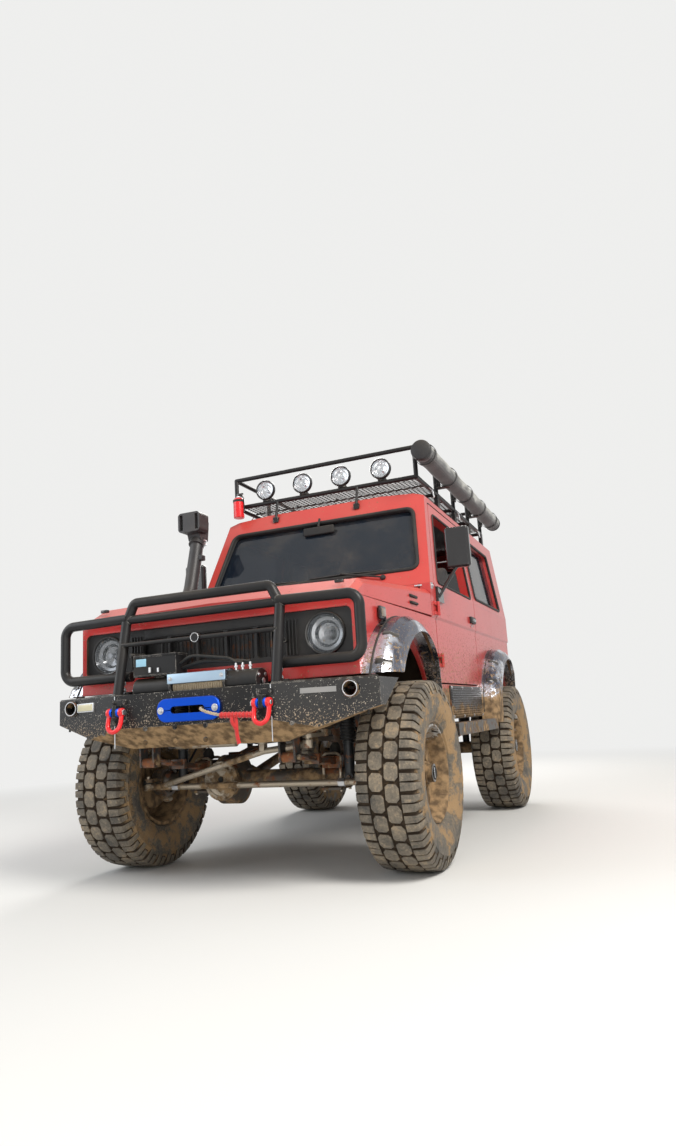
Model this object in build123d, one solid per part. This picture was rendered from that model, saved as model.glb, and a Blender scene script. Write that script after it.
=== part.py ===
from build123d import *
import math
import os

# Lifted off-road 4x4: short two-door body on a ladder frame, live axles, winch bumper, roof rack.

# All sizes are in millimetres. x runs to the vehicle's left, y runs back from the front axle, z is the
# height above the ground. Everything is moved to the middle of the vehicle's length when it is written.

# Wheels and axles
WHEELBASE = 2030
HALF_TRACK = 685
TYRE_RADIUS = 393.5
TYRE_WIDTH = 272
TREAD_WIDTH = 232
LUG_DEPTH = 12
LUG_COUNT = 20
LUG_GAP = 26
RIM_RADIUS = 190
RIM_WIDTH = 205
RIM_DISH = 30
HUB_RADIUS = 46
HUB_REACH = RIM_DISH + 40
DISC = (-38, -30, 125)
DRUM = (-64, -24, 108)
AXLE_TUBE_RADIUS = 38
AXLE_HEIGHT = TYRE_RADIUS
DIFF_OFFSET = -200
DIFF_RADIUS = 112
DIFF_COVER_RADIUS = 86
DIFF_LENGTH = 110
DIFF_TAPER = 30

# Steering
KINGPIN_X = 570
KINGPIN_RADIUS = 12
BALL_RADIUS = 50
KNUCKLE_GAP = 6
KNUCKLE_WALL = 15
KNUCKLE_MOUTH = 14
KNUCKLE_FACE = 64
SPINDLE_RADIUS = 22
SPINDLE_PAST_RIM = 40
HUB_INSET = 40
STEER_ARM = 150
STEER_ARM_DROP = 6
ARM_THICKNESS = 16
ROD_RADIUS = 14
ROD_PIN_RADIUS = 9
PIN_CLEARANCE = 0.05
PITMAN_X = 388
STEERING_BOX_HALF = 26
PITMAN_Y = -262
PITMAN_HEIGHT = 552
DRAG_LINK_BEND = (150, -340, 528)

# Springs and frame
FRAME_X = 330
FRAME_WIDTH = 60
FRAME_DEPTH = 84
FRAME_MID_Z = 530
FRAME_END_Z = 600
FRAME_ARCH_Z = 600
FRAME_REAR_Y = 2540
SPRING_X = FRAME_X
SPRING_WIDTH = 56
SPRING_PERCH = 16
LEAF_THICKNESS = 7
LEAF_COUNT = 4
SPRING_HALF_LENGTH = 458
SPRING_RISE = 50
SPRING_EYE_RADIUS = 20
SPRING_PIN_RADIUS = 8
HANGER_PLATE = 8
SHOCK_X = 425
SHOCK_RADIUS = 32
SHOCK_STUD_RADIUS = 9
FRONT_SHOCK_TOP = 770
REAR_SHOCK_TOP = 672

# Body heights and lengths
SILL_Z = 640
FLOOR_Z = 690
FLOOR_THICKNESS = 20
DOOR_BOTTOM_Z = 790
CREASE_Z = 1121
BELT_Z = 1296
ROOF_Z = 1884
GUTTER_Z = ROOF_Z - 44
DOOR_TOP_Z = GUTTER_Z - 40
BODY_HALF = 692
LOWER_HALF = BODY_HALF - 8
ROOF_HALF = BODY_HALF - 70
WALL = 55
ROOF_WALL = 35
BODY_REAR = 2596
COWL_Y = 505
DOOR_FRONT_Y = 592
DOOR_REAR_Y = 1500
PANEL_GAP = 8
SHUT_GAP = 0.3
WINDOW_CORNER = 34
DOOR_CORNER = 22
HANDLE_Y = 1404
HANDLE_Z = 1180

# Windscreen
GLASS_LOW_Y = 562
GLASS_LOW_Z = 1391
GLASS_HIGH_Y = 746
GLASS_HIGH_Z = 1761
SCREEN_LOW_HALF = BODY_HALF - 74
SCREEN_HIGH_HALF = ROOF_HALF - 58
SCREEN_CORNER = 50
SCREEN_DEPTH = 60
GLASS_THICKNESS = 5
RAKE = (GLASS_HIGH_Y - GLASS_LOW_Y) / (GLASS_HIGH_Z - GLASS_LOW_Z)

# Front body
NOSE_Y = -495
NOSE_HALF = LOWER_HALF - 22
NOSE_TOP_Z = 1098
NOSE_BOTTOM_Z = 807
BONNET_FRONT_Y = -377
BONNET_FRONT_Z = 1199
BONNET_REAR_Z = 1261
BONNET_WALL = 22
GRILLE_LOW_Z = 882
GRILLE_HIGH_Z = 1074
GRILLE_HALF = NOSE_HALF - 10
GRILLE_CORNER = 26
GRILLE_WINDOWS = 5
LAMP_X = 523
LAMP_Z = 976
LAMP_RADIUS = 86
ARCH_Y = -5
ARCH_RADIUS = 400
ARCH_Z = 590
REAR_ARCH_Z = 560
WING_WALL = 18
WING_LOW_Y = -340
VENT_Y = 225
VENT_LENGTH = 110
VENT_HALF = 7
VENT_HEIGHTS = [1158, 1190]
GRILLE_WINDOW_WIDTH = 128
GRILLE_BAR = 12
INDICATOR_Y = -243
INDICATOR_Z = 1064

# Rear
REAR_ARCH_RADIUS = 400
HATCH_HALF = BODY_HALF - 132
HATCH_BOTTOM_Z = 800
HATCH_TOP_Z = GUTTER_Z - 50
HATCH_DEPTH = 50
SPARE_GAP = 18
SPARE_Z = 1190
SPARE_X = 60
HOUSE_INNER = 420
HOUSE_WALL = 15
EXHAUST_X = 255
ENGINE_HALF = 190

# Cabin
DRIVER_X = 330
WHEEL_Y = 895
WHEEL_Z = 1235
SEAT_Y = 930

# Hinges
HINGE_RADIUS = 9
HINGE_PIN_RADIUS = 5
HINGE_HALF = 16
HINGE_REACH = 36
HINGE_LEAF = 46
HINGE_LEAF_THICKNESS = 4
DOOR_HINGE_X = BODY_HALF + 12
DOOR_HINGE_Y = DOOR_FRONT_Y - PANEL_GAP / 2
DOOR_HINGE_HEIGHTS = [900, 1168]
HATCH_HINGE_X = -HATCH_HALF - PANEL_GAP / 2
HATCH_HINGE_Y = BODY_REAR + 12
HATCH_HINGE_HEIGHTS = [852, 1180, 1700]
BONNET_HINGE_X = 480
BONNET_HINGE_Y = COWL_Y - 12
BONNET_HINGE_Z = BONNET_REAR_Z + 14
MOUNT_RADIUS = 24
BODY_MOUNTS = [  # y, height of the frame's top there
    (580, FRAME_MID_Z + FRAME_DEPTH),
    (1440, FRAME_MID_Z + FRAME_DEPTH),
    (2500, FRAME_END_Z + FRAME_DEPTH),
]

# Roof rack
RACK_HALF = ROOF_HALF - 41
RACK_FRONT = 812
RACK_REAR = 2500
RACK_LOW_Z = ROOF_Z + 78
RACK_HEIGHT = 177
RACK_TOP_Z = RACK_LOW_Z + RACK_HEIGHT
RACK_TUBE = 13
RACK_POSTS = [RACK_FRONT, 1240, 1670, 2085, RACK_REAR]
RACK_LAMP_Y = -24
RACK_LAMP_RADIUS = 62
RACK_LAMP_Z = RACK_TOP_Z - 96
RACK_LAMP_SPACING = 250
AWNING_X = RACK_HALF + 79
AWNING_FRONT = 650
AWNING_LENGTH = 2000
AWNING_RADIUS = 62
RACK_CLAMPS = (-299, 222)
BOTTLE_RADIUS = 33
BOTTLE_LOW_Z = ROOF_Z - 2
BOTTLE_HEIGHT = 128
AWNING_Z = RACK_TOP_Z - 79

# Winch bumper and bull bar
BUMPER_HALF = 752
BUMPER_FACE_Y = -656
BUMPER_TOP_Z = 790
BUMPER_FACE_DEPTH = 135
BUMPER_CENTRE_HALF = 358
BUMPER_END_Y = -538
BUMPER_END_BACK = -292
BUMPER_BACK_Y = -520
FRAME_FRONT_Y = BUMPER_BACK_Y + SHUT_GAP
BUMPER_BOTTOM_Z = 570
BUMPER_WING_LOW_Z = 671
BUMPER_PLATE = 6
TRAY_Z = 742
WINCH_Y = -588
WINCH_Z = 806
WINCH_BAY = 305
FOG_X = 650
FOG_RADIUS = 26
FOG_Z = BUMPER_TOP_Z - 38
FOG_WALL = 6
FOG_FRONT = BUMPER_FACE_Y + 72
FOG_SLEEVE = 44
FAIRLEAD_Z = 715
ROPE_RADIUS = 6
STRAP_RADIUS = 8
KNOT_X = 296.8
MARKER_X = 554
MARKER_Z = FOG_Z
BULL_TUBE = 21
BULL_HALF = 700
BULL_UPRIGHT_X = 368
BULL_LOW_Z = 869
BULL_HIGH_Z = 1110
BULL_HOOP_Z = BULL_HIGH_Z + 71
BULL_Y = -561
SHACKLE_X = 334
SHACKLE_Z = 720
SHACKLE_ROD = 9
SHACKLE_BOW = 24
SHACKLE_DROP = 72
ISOLATOR_RADIUS = 18
SHACKLE_STAND = 20 + SHUT_GAP
SHACKLE_REACH = SHACKLE_STAND + SHACKLE_BOW + SHACKLE_ROD

# Steps, flares, mirrors
SLIDER_X = 765
SLIDER_Z = 556
SLIDER_SIZE = 60
SLIDER_FRONT = 440
SLIDER_REAR = 1400
FLARE_OUT = BODY_HALF + 98
FLARE_SHIFT = 65
FLARE_WALL = 10
FLARE_POCKETS = (34, 54)
MIRROR_X = 812
MIRROR_Y = 680
MIRROR_Z = 1494
MIRROR_WIDTH = 130
MIRROR_HEIGHT = 220
MIRROR_DEPTH = 42
SNORKEL_RADIUS = 40
SNORKEL_GAP = 6
SNORKEL_TOP_Z = 1892

# Ends of the vehicle, from which its middle is found
FRONT_END = BUMPER_FACE_Y - SHACKLE_REACH
REAR_END = BODY_REAR + SPARE_GAP + TYRE_WIDTH
MIDDLE_Y = (FRONT_END + REAR_END) / 2

REAR_AXLE_Y = WHEELBASE
WHEEL_PLACES = [  # name, x, y
    ("fl", HALF_TRACK, 0),
    ("fr", -HALF_TRACK, 0),
    ("rl", HALF_TRACK, REAR_AXLE_Y),
    ("rr", -HALF_TRACK, REAR_AXLE_Y),
]


def block(x0, x1, y0, y1, z0, z1):
    """A box from its low and high sides."""
    return Pos((x0 + x1) / 2, (y0 + y1) / 2, (z0 + z1) / 2) * Box(x1 - x0, y1 - y0, z1 - z0)


def face_of(points):
    return Face(Wire.make_polygon([Vector(*p) for p in points], close=True))


def side_prism(points, x0, x1):
    """Extrude a (y, z) outline along x."""
    return Solid.extrude(face_of([(x0, y, z) for y, z in points]), Vector(x1 - x0, 0, 0))


def front_prism(points, y0, y1):
    """Extrude an (x, z) outline along y."""
    return Solid.extrude(face_of([(x, y0, z) for x, z in points]), Vector(0, y1 - y0, 0))


def plan_prism(points, z0, z1):
    """Extrude an (x, y) outline along z."""
    return Solid.extrude(face_of([(x, y, z0) for x, y in points]), Vector(0, 0, z1 - z0))


def rod(start, end, radius):
    """A round bar between two points."""
    a, b = Vector(*start), Vector(*end)
    plane = Plane(origin=a, z_dir=b - a)
    return extrude(plane * Circle(radius), amount=(b - a).length)


def bar(points, radius, bend):
    """A round bar along straight runs with bends between them."""
    path = FilletPolyline(*points, radius=bend)
    plane = Plane(origin=path @ 0, z_dir=path % 0)
    return sweep(plane * Circle(radius), path=path)


def turned(profile, centre, axis=Axis.X):
    """Revolve an (along, radius) outline about a line along x through centre."""
    face = face_of([(a, 0, r) for a, r in profile])
    solid = revolve(face, Axis.X)
    if axis == Axis.Y:
        solid = Rot(0, 0, 90) * solid
    if axis == Axis.Z:
        solid = Rot(0, -90, 0) * solid
    return Pos(*centre) * solid


def mirrored(shape):
    return mirror(shape, Plane.YZ)


def joined(*shapes):
    """Fuse the shapes into one."""
    result = shapes[0]
    for shape in shapes[1:]:
        result = result + shape
    return result


def group(*shapes):
    """Keep shapes that don't touch as separate solids of one piece."""
    return Compound(children=[s for shape in shapes for s in shape.solids()])


def write(name, shape):
    os.makedirs("parts", exist_ok=True)
    placed = Pos(0, -MIDDLE_Y, 0) * shape
    export_step(placed, f"parts/{name}.step")


# Body shell: the outer form less the inner form, cut into panels along the real joints
def screen_line(z, back=0):
    """The y of the windscreen's front face at a height."""
    return GLASS_LOW_Y + (z - GLASS_LOW_Z) * RAKE + back


def cabin_outline(inset, roof_inset, low):
    side, roof = BODY_HALF - inset, ROOF_HALF - inset
    points = [(LOWER_HALF - inset, low), (LOWER_HALF - inset, CREASE_Z - 6), (side, CREASE_Z + 6),
              (side, BELT_Z), (roof, GUTTER_Z - roof_inset), (roof - 60, GUTTER_Z + 22 - roof_inset),
              (roof - 260, ROOF_Z - 6 - roof_inset)]
    return points + [(-x, z) for x, z in reversed(points)]


def cabin_shell():
    outer = front_prism(cabin_outline(0, 0, SILL_Z), COWL_Y - 10, BODY_REAR)
    inner = front_prism(cabin_outline(WALL, ROOF_WALL, SILL_Z - 20), COWL_Y - 20, BODY_REAR + 10)
    return outer - inner


SHELL = cabin_shell()
OUTER = front_prism(cabin_outline(0, 0, SILL_Z), COWL_Y - 10, BODY_REAR)
DOOR_OUTLINE = [  # y, z of the left door's edge
    (DOOR_FRONT_Y, DOOR_BOTTOM_Z), (DOOR_FRONT_Y, BELT_Z - 20),
    (screen_line(BELT_Z + 10, SCREEN_DEPTH + PANEL_GAP), BELT_Z + 10),
    (screen_line(DOOR_TOP_Z, SCREEN_DEPTH + PANEL_GAP), DOOR_TOP_Z),
    (DOOR_REAR_Y, DOOR_TOP_Z), (DOOR_REAR_Y, DOOR_BOTTOM_Z + 60), (DOOR_REAR_Y - 60, DOOR_BOTTOM_Z)]
DOOR_WINDOW = [
    (DOOR_FRONT_Y + 75, BELT_Z + 20), (screen_line(DOOR_TOP_Z - 55, SCREEN_DEPTH + 75), DOOR_TOP_Z - 55),
    (DOOR_REAR_Y - 60, DOOR_TOP_Z - 55), (DOOR_REAR_Y - 60, BELT_Z + 20)]
REAR_WINDOW = [(1575, BELT_Z + 40), (1575, DOOR_TOP_Z - 55), (2330, DOOR_TOP_Z - 55), (2380, BELT_Z + 40)]


def grown(points, by):
    """A convex outline moved outwards by a distance."""
    n = len(points)
    area = sum(points[i][0] * points[(i + 1) % n][1] - points[(i + 1) % n][0] * points[i][1]
               for i in range(n))
    turn = 1 if area > 0 else -1
    result = []
    for i in range(n):
        (px, py), (cx, cy), (nx, ny) = points[i - 1], points[i], points[(i + 1) % n]
        ax, ay, bx, by_ = cx - px, cy - py, nx - cx, ny - cy
        la, lb = math.hypot(ax, ay), math.hypot(bx, by_)
        ux, uy = ay / la * turn, -ax / la * turn
        vx, vy = by_ / lb * turn, -bx / lb * turn
        k = by / (1 + ux * vx + uy * vy)
        result.append((cx + (ux + vx) * k, cy + (uy + vy) * k))
    return result


def door_side(sign):
    """The door panel on one side: sign is +1 on the left and -1 on the right."""
    panel = SHELL & side_cut(DOOR_OUTLINE, 1, 0, DOOR_CORNER)
    panel = panel - side_cut(DOOR_WINDOW, 1, 0, WINDOW_CORNER)
    handle = block(BODY_HALF - 1, BODY_HALF + 14, HANDLE_Y - 54, HANDLE_Y + 54, HANDLE_Z - 13, HANDLE_Z + 13)
    panel = joined(panel, rounded(handle, Axis.X, 6), *door_hinges(hinge_moving))
    return panel if sign > 0 else mirrored(panel)


def door_glass(sign):
    """A pane that stands inside the window opening, flush with the wall's middle."""
    return side_cut(DOOR_WINDOW, sign, -SHUT_GAP, WINDOW_CORNER) & window_sheet()


def window_sheet():
    """The thin layer in the middle of the wall in which side panes lie."""
    mid = WALL / 2
    outer = front_prism(cabin_outline(mid, ROOF_WALL / 2, SILL_Z), COWL_Y, BODY_REAR)
    inner = front_prism(cabin_outline(mid + GLASS_THICKNESS, ROOF_WALL, SILL_Z - 20), COWL_Y - 10,
                        BODY_REAR + 10)
    return outer - inner


def arch_cut(y, radius, x0, x1, z=ARCH_Z):
    """The wheel opening seen from the side: a half round above the axle, open below."""
    round_part = Pos((x0 + x1) / 2, y, z) * Rot(0, 90, 0) * Cylinder(radius, abs(x1 - x0))
    return round_part + block(min(x0, x1), max(x0, x1), y - radius, y + radius, z - 300, z)


def body_tub():
    """Body sides below the belt: pillars, sills, rear quarters with wheel houses and the tail's frame."""
    lower = SHELL & block(-BODY_HALF - 100, BODY_HALF + 100, COWL_Y, BODY_REAR, SILL_Z, BELT_Z - SHUT_GAP)
    for sign in (1, -1):
        lower = lower - side_cut(DOOR_OUTLINE, sign, PANEL_GAP, DOOR_CORNER)
    half = LOWER_HALF - WALL
    still_low = block(-half - 5, half + 5, BODY_REAR - HATCH_DEPTH, BODY_REAR, SILL_Z,
                      HATCH_BOTTOM_Z - PANEL_GAP)
    corner = block(HATCH_HALF + PANEL_GAP, half + 5, BODY_REAR - HATCH_DEPTH, BODY_REAR, SILL_Z,
                   BELT_Z - SHUT_GAP)
    tub = joined(lower, still_low, corner, mirrored(corner))
    house = (Pos(0, REAR_AXLE_Y, REAR_ARCH_Z) * Rot(0, 90, 0)
             * Cylinder(REAR_ARCH_RADIUS + HOUSE_WALL, 2 * half + 10))
    house = house & block(-half - 5, half + 5, COWL_Y, BODY_REAR, FLOOR_Z, BELT_Z)
    house = house - block(-HOUSE_INNER, HOUSE_INNER, COWL_Y, BODY_REAR, 0, BELT_Z)
    tub = tub + house
    for x0, x1 in ((HOUSE_INNER + HOUSE_WALL, BODY_HALF + 100),
                   (-BODY_HALF - 100, -HOUSE_INNER - HOUSE_WALL)):
        tub = tub - arch_cut(REAR_AXLE_Y, REAR_ARCH_RADIUS, x0, x1, REAR_ARCH_Z)
    pillar = joined(*door_hinges(hinge_fixed))
    hinges = [h for z, h in zip(HATCH_HINGE_HEIGHTS, hatch_hinges(hinge_fixed)) if z < BELT_Z]
    return joined(tub, pillar, mirrored(pillar), *hinges)


def hard_top():
    """Roof and rear side walls with their windows and the tail's upper frame."""
    low = BELT_Z + 44
    roof = [(screen_line(low, SCREEN_DEPTH + SHUT_GAP), low),
            (screen_line(ROOF_Z + 30, SCREEN_DEPTH + SHUT_GAP), ROOF_Z + 30),
            (BODY_REAR, ROOF_Z + 30), (BODY_REAR, BELT_Z), (DOOR_REAR_Y - 300, BELT_Z)]
    top = SHELL & side_prism(roof, -BODY_HALF - 100, BODY_HALF + 100)
    for sign in (1, -1):
        top = top - side_cut(DOOR_OUTLINE, sign, PANEL_GAP, DOOR_CORNER)
        top = top - side_cut(REAR_WINDOW, sign, 0, WINDOW_CORNER)
    rear = OUTER & block(-BODY_HALF - 100, BODY_HALF + 100, BODY_REAR - HATCH_DEPTH, BODY_REAR, BELT_Z,
                         ROOF_Z)
    rear = rear - block(-HATCH_HALF - PANEL_GAP, HATCH_HALF + PANEL_GAP, BODY_REAR - 100,
                        BODY_REAR + 10, BELT_Z - 10, HATCH_TOP_Z + PANEL_GAP)
    hinges = [h for z, h in zip(HATCH_HINGE_HEIGHTS, hatch_hinges(hinge_fixed)) if z > BELT_Z]
    return joined(top, rear, *hinges)


def screen_slab(front, back):
    low, high = BELT_Z, ROOF_Z + 30
    return side_prism([(screen_line(low, front), low), (screen_line(high, front), high),
                       (screen_line(high, back), high), (screen_line(low, back), low)], -800, 800)


def screen_opening(margin):
    """The windscreen's opening, a taper from the bottom to the top, pushed through along y."""
    low, high = GLASS_LOW_Z, GLASS_HIGH_Z
    outline = [(-SCREEN_LOW_HALF, low), (SCREEN_LOW_HALF, low), (SCREEN_HIGH_HALF, high),
               (-SCREEN_HIGH_HALF, high)]
    prism = front_prism(grown(outline, margin), COWL_Y - 50, GLASS_HIGH_Y + 300)
    return rounded(prism, Axis.Y, SCREEN_CORNER + margin)


def windscreen_frame():
    frame = OUTER & screen_slab(0, SCREEN_DEPTH)
    return frame - screen_opening(0)


def fixed_glass():
    screen = screen_slab(20, 20 + GLASS_THICKNESS) & screen_opening(-SHUT_GAP)
    pane = side_cut(REAR_WINDOW, 1, -SHUT_GAP, WINDOW_CORNER) & window_sheet()
    return group(screen, pane, mirrored(pane))


def nose_loft(front, rear):
    """Loft between two outlines given as (y, points)."""
    (y0, a), (y1, b) = front, rear
    wires = [Wire.make_polygon([Vector(x, y, z) for x, z in pts], close=True)
             for y, pts in ((y0, a), (y1, b))]
    return Solid.make_loft(wires, ruled=True)


def bonnet_section(half, top, low, shoulder, crown, inset):
    return [(-half + inset, low), (-half + inset, top - shoulder),
            (-half + shoulder + inset * 0.6, top - inset),
            (0, top + crown - inset), (half - shoulder - inset * 0.6, top - inset),
            (half - inset, top - shoulder), (half - inset, low)]


def bonnet_form(inset, low):
    front_half = NOSE_HALF - 8
    rear = bonnet_section(BODY_HALF, BONNET_REAR_Z, low, 26, 10, inset)
    front = bonnet_section(front_half, BONNET_FRONT_Z, low, 26, 14, inset)
    tip = bonnet_section(front_half, NOSE_TOP_Z + 40, low, 26, 14, inset)
    main = nose_loft((BONNET_FRONT_Y, front), (COWL_Y - PANEL_GAP, rear))
    nose = nose_loft((NOSE_Y + 8 + inset, tip), (BONNET_FRONT_Y, front))
    return main + nose


def bonnet():
    """Bonnet with its deep side skirts and their vent slots, open below and behind, and its two hinges."""
    shell = bonnet_form(0, CREASE_Z + 3) - bonnet_form(BONNET_WALL, CREASE_Z - 50)
    front, rear = VENT_Y - VENT_LENGTH / 2, VENT_Y + VENT_LENGTH / 2
    for z in VENT_HEIGHTS:
        slot = block(-BODY_HALF - 10, BODY_HALF + 10, front, rear, z - VENT_HALF, z + VENT_HALF)
        shell = shell - rounded(slot, Axis.X, VENT_HALF - 1)
    return joined(shell, *bonnet_hinges(hinge_moving, BONNET_HINGE_Z - BONNET_REAR_Z + 2))


def wing_outline(inset):
    return [(LOWER_HALF - inset, COWL_Y), (NOSE_HALF - inset, NOSE_Y), (-NOSE_HALF + inset, NOSE_Y),
            (-LOWER_HALF + inset, COWL_Y)]


def front_wings():
    """Both wings with the front panel, its grille opening and the inner shelves under the bonnet."""
    top, wide = CREASE_Z - 3, BODY_HALF + 100
    side = plan_prism(wing_outline(0), SILL_Z + 60, top) - (
        plan_prism(wing_outline(WING_WALL), SILL_Z, top + 10)
        & block(-wide, wide, NOSE_Y + WING_WALL, COWL_Y + 95, 0, top + 100))
    panel = block(-NOSE_HALF + 4, NOSE_HALF - 4, NOSE_Y, NOSE_Y + 40, NOSE_BOTTOM_Z, NOSE_TOP_Z)
    opening = block(-GRILLE_HALF + 12, GRILLE_HALF - 12, NOSE_Y - 5, NOSE_Y + 60, GRILLE_LOW_Z,
                    GRILLE_HIGH_Z)
    opening = rounded(opening, Axis.Y, GRILLE_CORNER)
    shelf = block(NOSE_HALF - 162, NOSE_HALF - 4, NOSE_Y + 4, COWL_Y, top - 16, top)
    body = joined(side, panel, shelf, mirrored(shelf)) - opening
    body = body & block(-wide, wide, NOSE_Y, COWL_Y - SHUT_GAP, NOSE_BOTTOM_Z - 200, top)
    body = body - block(-wide, wide, NOSE_Y - 10, WING_LOW_Y, 0, NOSE_BOTTOM_Z)
    for x0, x1 in ((FRAME_X, wide), (-wide, -FRAME_X)):
        body = body - arch_cut(ARCH_Y, ARCH_RADIUS, x0, x1, ARCH_Z)
    return body


def grille():
    """Dark panel between the headlamps with a row of tall windows, and louvres beside each lamp."""
    half = GRILLE_HALF - 12 - SHUT_GAP
    back = block(-half, half, NOSE_Y + 12, NOSE_Y + 34, GRILLE_LOW_Z + SHUT_GAP, GRILLE_HIGH_Z - SHUT_GAP)
    back = rounded(back, Axis.Y, GRILLE_CORNER - SHUT_GAP)
    for sign in (1, -1):
        hole = Pos(sign * LAMP_X, NOSE_Y + 20, LAMP_Z) * Rot(90, 0, 0) * Cylinder(LAMP_RADIUS + SHUT_GAP, 90)
        back = back - hole
    pitch = GRILLE_WINDOW_WIDTH + GRILLE_BAR
    for column in range(GRILLE_WINDOWS):
        x = (column - (GRILLE_WINDOWS - 1) / 2) * pitch
        window = block(x - GRILLE_WINDOW_WIDTH / 2, x + GRILLE_WINDOW_WIDTH / 2, NOSE_Y, NOSE_Y + 60,
                       GRILLE_LOW_Z + 22, GRILLE_HIGH_Z - 44)
        back = back - rounded(window, Axis.Y, 10)
    rib_x = GRILLE_WINDOWS * pitch / 2
    for column in range(4):
        x = rib_x + column * 15
        rib = block(x, x + 5, NOSE_Y + 4, NOSE_Y + 13, GRILLE_LOW_Z + 22, GRILLE_HIGH_Z - 30)
        back = joined(back, rib, mirrored(rib))
    return back


def headlamps():
    lamp = turned([(-18, 0), (-18, LAMP_RADIUS - 14), (-4, LAMP_RADIUS), (22, LAMP_RADIUS), (60, 60),
                   (60, 0)],
                  (0, 0, 0), Axis.Y)
    return group(*(Pos(sign * LAMP_X, NOSE_Y + 12, LAMP_Z) * lamp for sign in (1, -1)))


def dashboard():
    half = LOWER_HALF - WALL - 8
    back = screen_line(BELT_Z, SCREEN_DEPTH) + SHUT_GAP
    front = COWL_Y + 25 + SHUT_GAP
    return side_prism([(front, 1060), (front, BONNET_REAR_Z - 26), (back, BONNET_REAR_Z - 26),
                       (back, BELT_Z - 6),
                       (COWL_Y + 210, 1270), (COWL_Y + 240, 1190), (COWL_Y + 180, 1060)], -half, half)


def steering_wheel():
    """Wheel rim with three spokes on a column that comes out of the dashboard."""
    tilt = 0.45
    plane = Plane(origin=(DRIVER_X, WHEEL_Y, WHEEL_Z), z_dir=(0, 1, tilt))
    rim = plane * Torus(185, 13)
    hub = plane * Cylinder(45, 40)
    spokes = [plane * Rot(0, 0, a) * Pos(98, 0, 0) * Box(170, 26, 10) for a in (0, 180, 270)]
    column = rod((DRIVER_X, COWL_Y + 180, WHEEL_Z - tilt * (WHEEL_Y - COWL_Y - 180)),
                 (DRIVER_X, WHEEL_Y, WHEEL_Z), 24) - dashboard()
    return joined(hub, rim, *spokes, column)


def seats():
    """Two front seats with backs and headrests, and a bench behind them."""
    floor = FLOOR_Z + FLOOR_THICKNESS + SHUT_GAP
    def seat(x, y):
        cushion = block(x - 235, x + 235, y, y + 500, FLOOR_Z + 200, FLOOR_Z + 340)
        back = side_prism([(y + 390, FLOOR_Z + 330), (y + 500, FLOOR_Z + 330), (y + 640, FLOOR_Z + 860),
                           (y + 540, FLOOR_Z + 880)], x - 225, x + 225)
        head = side_prism([(y + 548, FLOOR_Z + 860), (y + 632, FLOOR_Z + 850), (y + 660, FLOOR_Z + 1010),
                           (y + 580, FLOOR_Z + 1020)], x - 120, x + 120)
        base = block(x - 190, x + 190, y + 40, y + 440, floor, FLOOR_Z + 201)
        return joined(cushion, back, head, base)
    bench_y = REAR_AXLE_Y - 60
    bench = joined(block(-400, 400, bench_y, bench_y + 430, floor, FLOOR_Z + 330),
                   side_prism([(bench_y + 340, FLOOR_Z + 320), (bench_y + 430, FLOOR_Z + 320),
                               (bench_y + 500, FLOOR_Z + 780), (bench_y + 420, FLOOR_Z + 790)], -400, 400))
    return group(seat(DRIVER_X, SEAT_Y), seat(-DRIVER_X, SEAT_Y), bench)


def frame_rails():
    """Two rails that rise over the axles, cross members, spring hangers and shock towers."""
    low, end, arch, depth = FRAME_MID_Z, FRAME_END_Z, FRAME_ARCH_Z, FRAME_DEPTH
    bottom = [(FRAME_FRONT_Y, end), (330, end), (520, low), (1480, low), (1700, arch), (2280, arch),
              (2420, end), (FRAME_REAR_Y, end)]
    top = [(y, z + depth) for y, z in reversed(bottom)]
    rail = side_prism(bottom + top, FRAME_X - FRAME_WIDTH / 2, FRAME_X + FRAME_WIDTH / 2)
    inner = FRAME_X - FRAME_WIDTH / 2 + 5
    cross = [  # y, bottom, depth along y, height
        (FRAME_FRONT_Y + 30, end + 8, 40, 70), (640, low + 20, 60, 12 - SHUT_GAP), (1500, low + 4, 60, 60),
        (2160, arch + 4, 50, 60), (FRAME_REAR_Y - 22, end + 4, 40, 80)]
    left = joined(rail, *spring_hangers(), *shock_towers())
    pieces = [left, mirrored(left)]
    for y, z, deep, high in cross:
        pieces.append(block(-inner, inner, y - deep / 2, y + deep / 2, z, z + high))
    return group(joined(*pieces), steering_box())


def leaf_spring(x, y):
    """A stack of leaves over the axle, bowed down in the middle, with eyes at both ends."""
    low = AXLE_HEIGHT + AXLE_TUBE_RADIUS + SPRING_PERCH
    radius = (SPRING_HALF_LENGTH ** 2 + SPRING_RISE ** 2) / (2 * SPRING_RISE)
    centre = low + radius
    pieces = []
    for leaf in range(LEAF_COUNT):
        outer = radius - (LEAF_COUNT - 1 - leaf) * LEAF_THICKNESS
        inner = outer - LEAF_THICKNESS
        reach = SPRING_HALF_LENGTH * (1 - leaf * 0.24)
        angle = math.asin(reach / radius)
        pieces.append(arc_strip(x, y, centre, inner, outer, angle))
    for way in (1, -1):
        eye_at = Pos(x, y + way * (SPRING_HALF_LENGTH + 6), spring_eye_z()) * Rot(0, 90, 0)
        pieces.append(eye_at * Cylinder(SPRING_EYE_RADIUS, SPRING_WIDTH))
    top = low + LEAF_THICKNESS
    pad = block(x - 42, x + 42, y - 62, y + 62, AXLE_HEIGHT + AXLE_TUBE_RADIUS + SHUT_GAP, top)
    clamp = block(x - 42, x + 42, y - 62, y + 62, top, top + LEAF_THICKNESS * LEAF_COUNT)
    shape = joined(*pieces, pad, clamp)
    for way in (1, -1):
        hole = Pos(x, y + way * (SPRING_HALF_LENGTH + 6), spring_eye_z()) * Rot(0, 90, 0) * Cylinder(
            SPRING_PIN_RADIUS + SHUT_GAP, SPRING_WIDTH + 10)
        shape = shape - hole
    return shape


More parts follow.
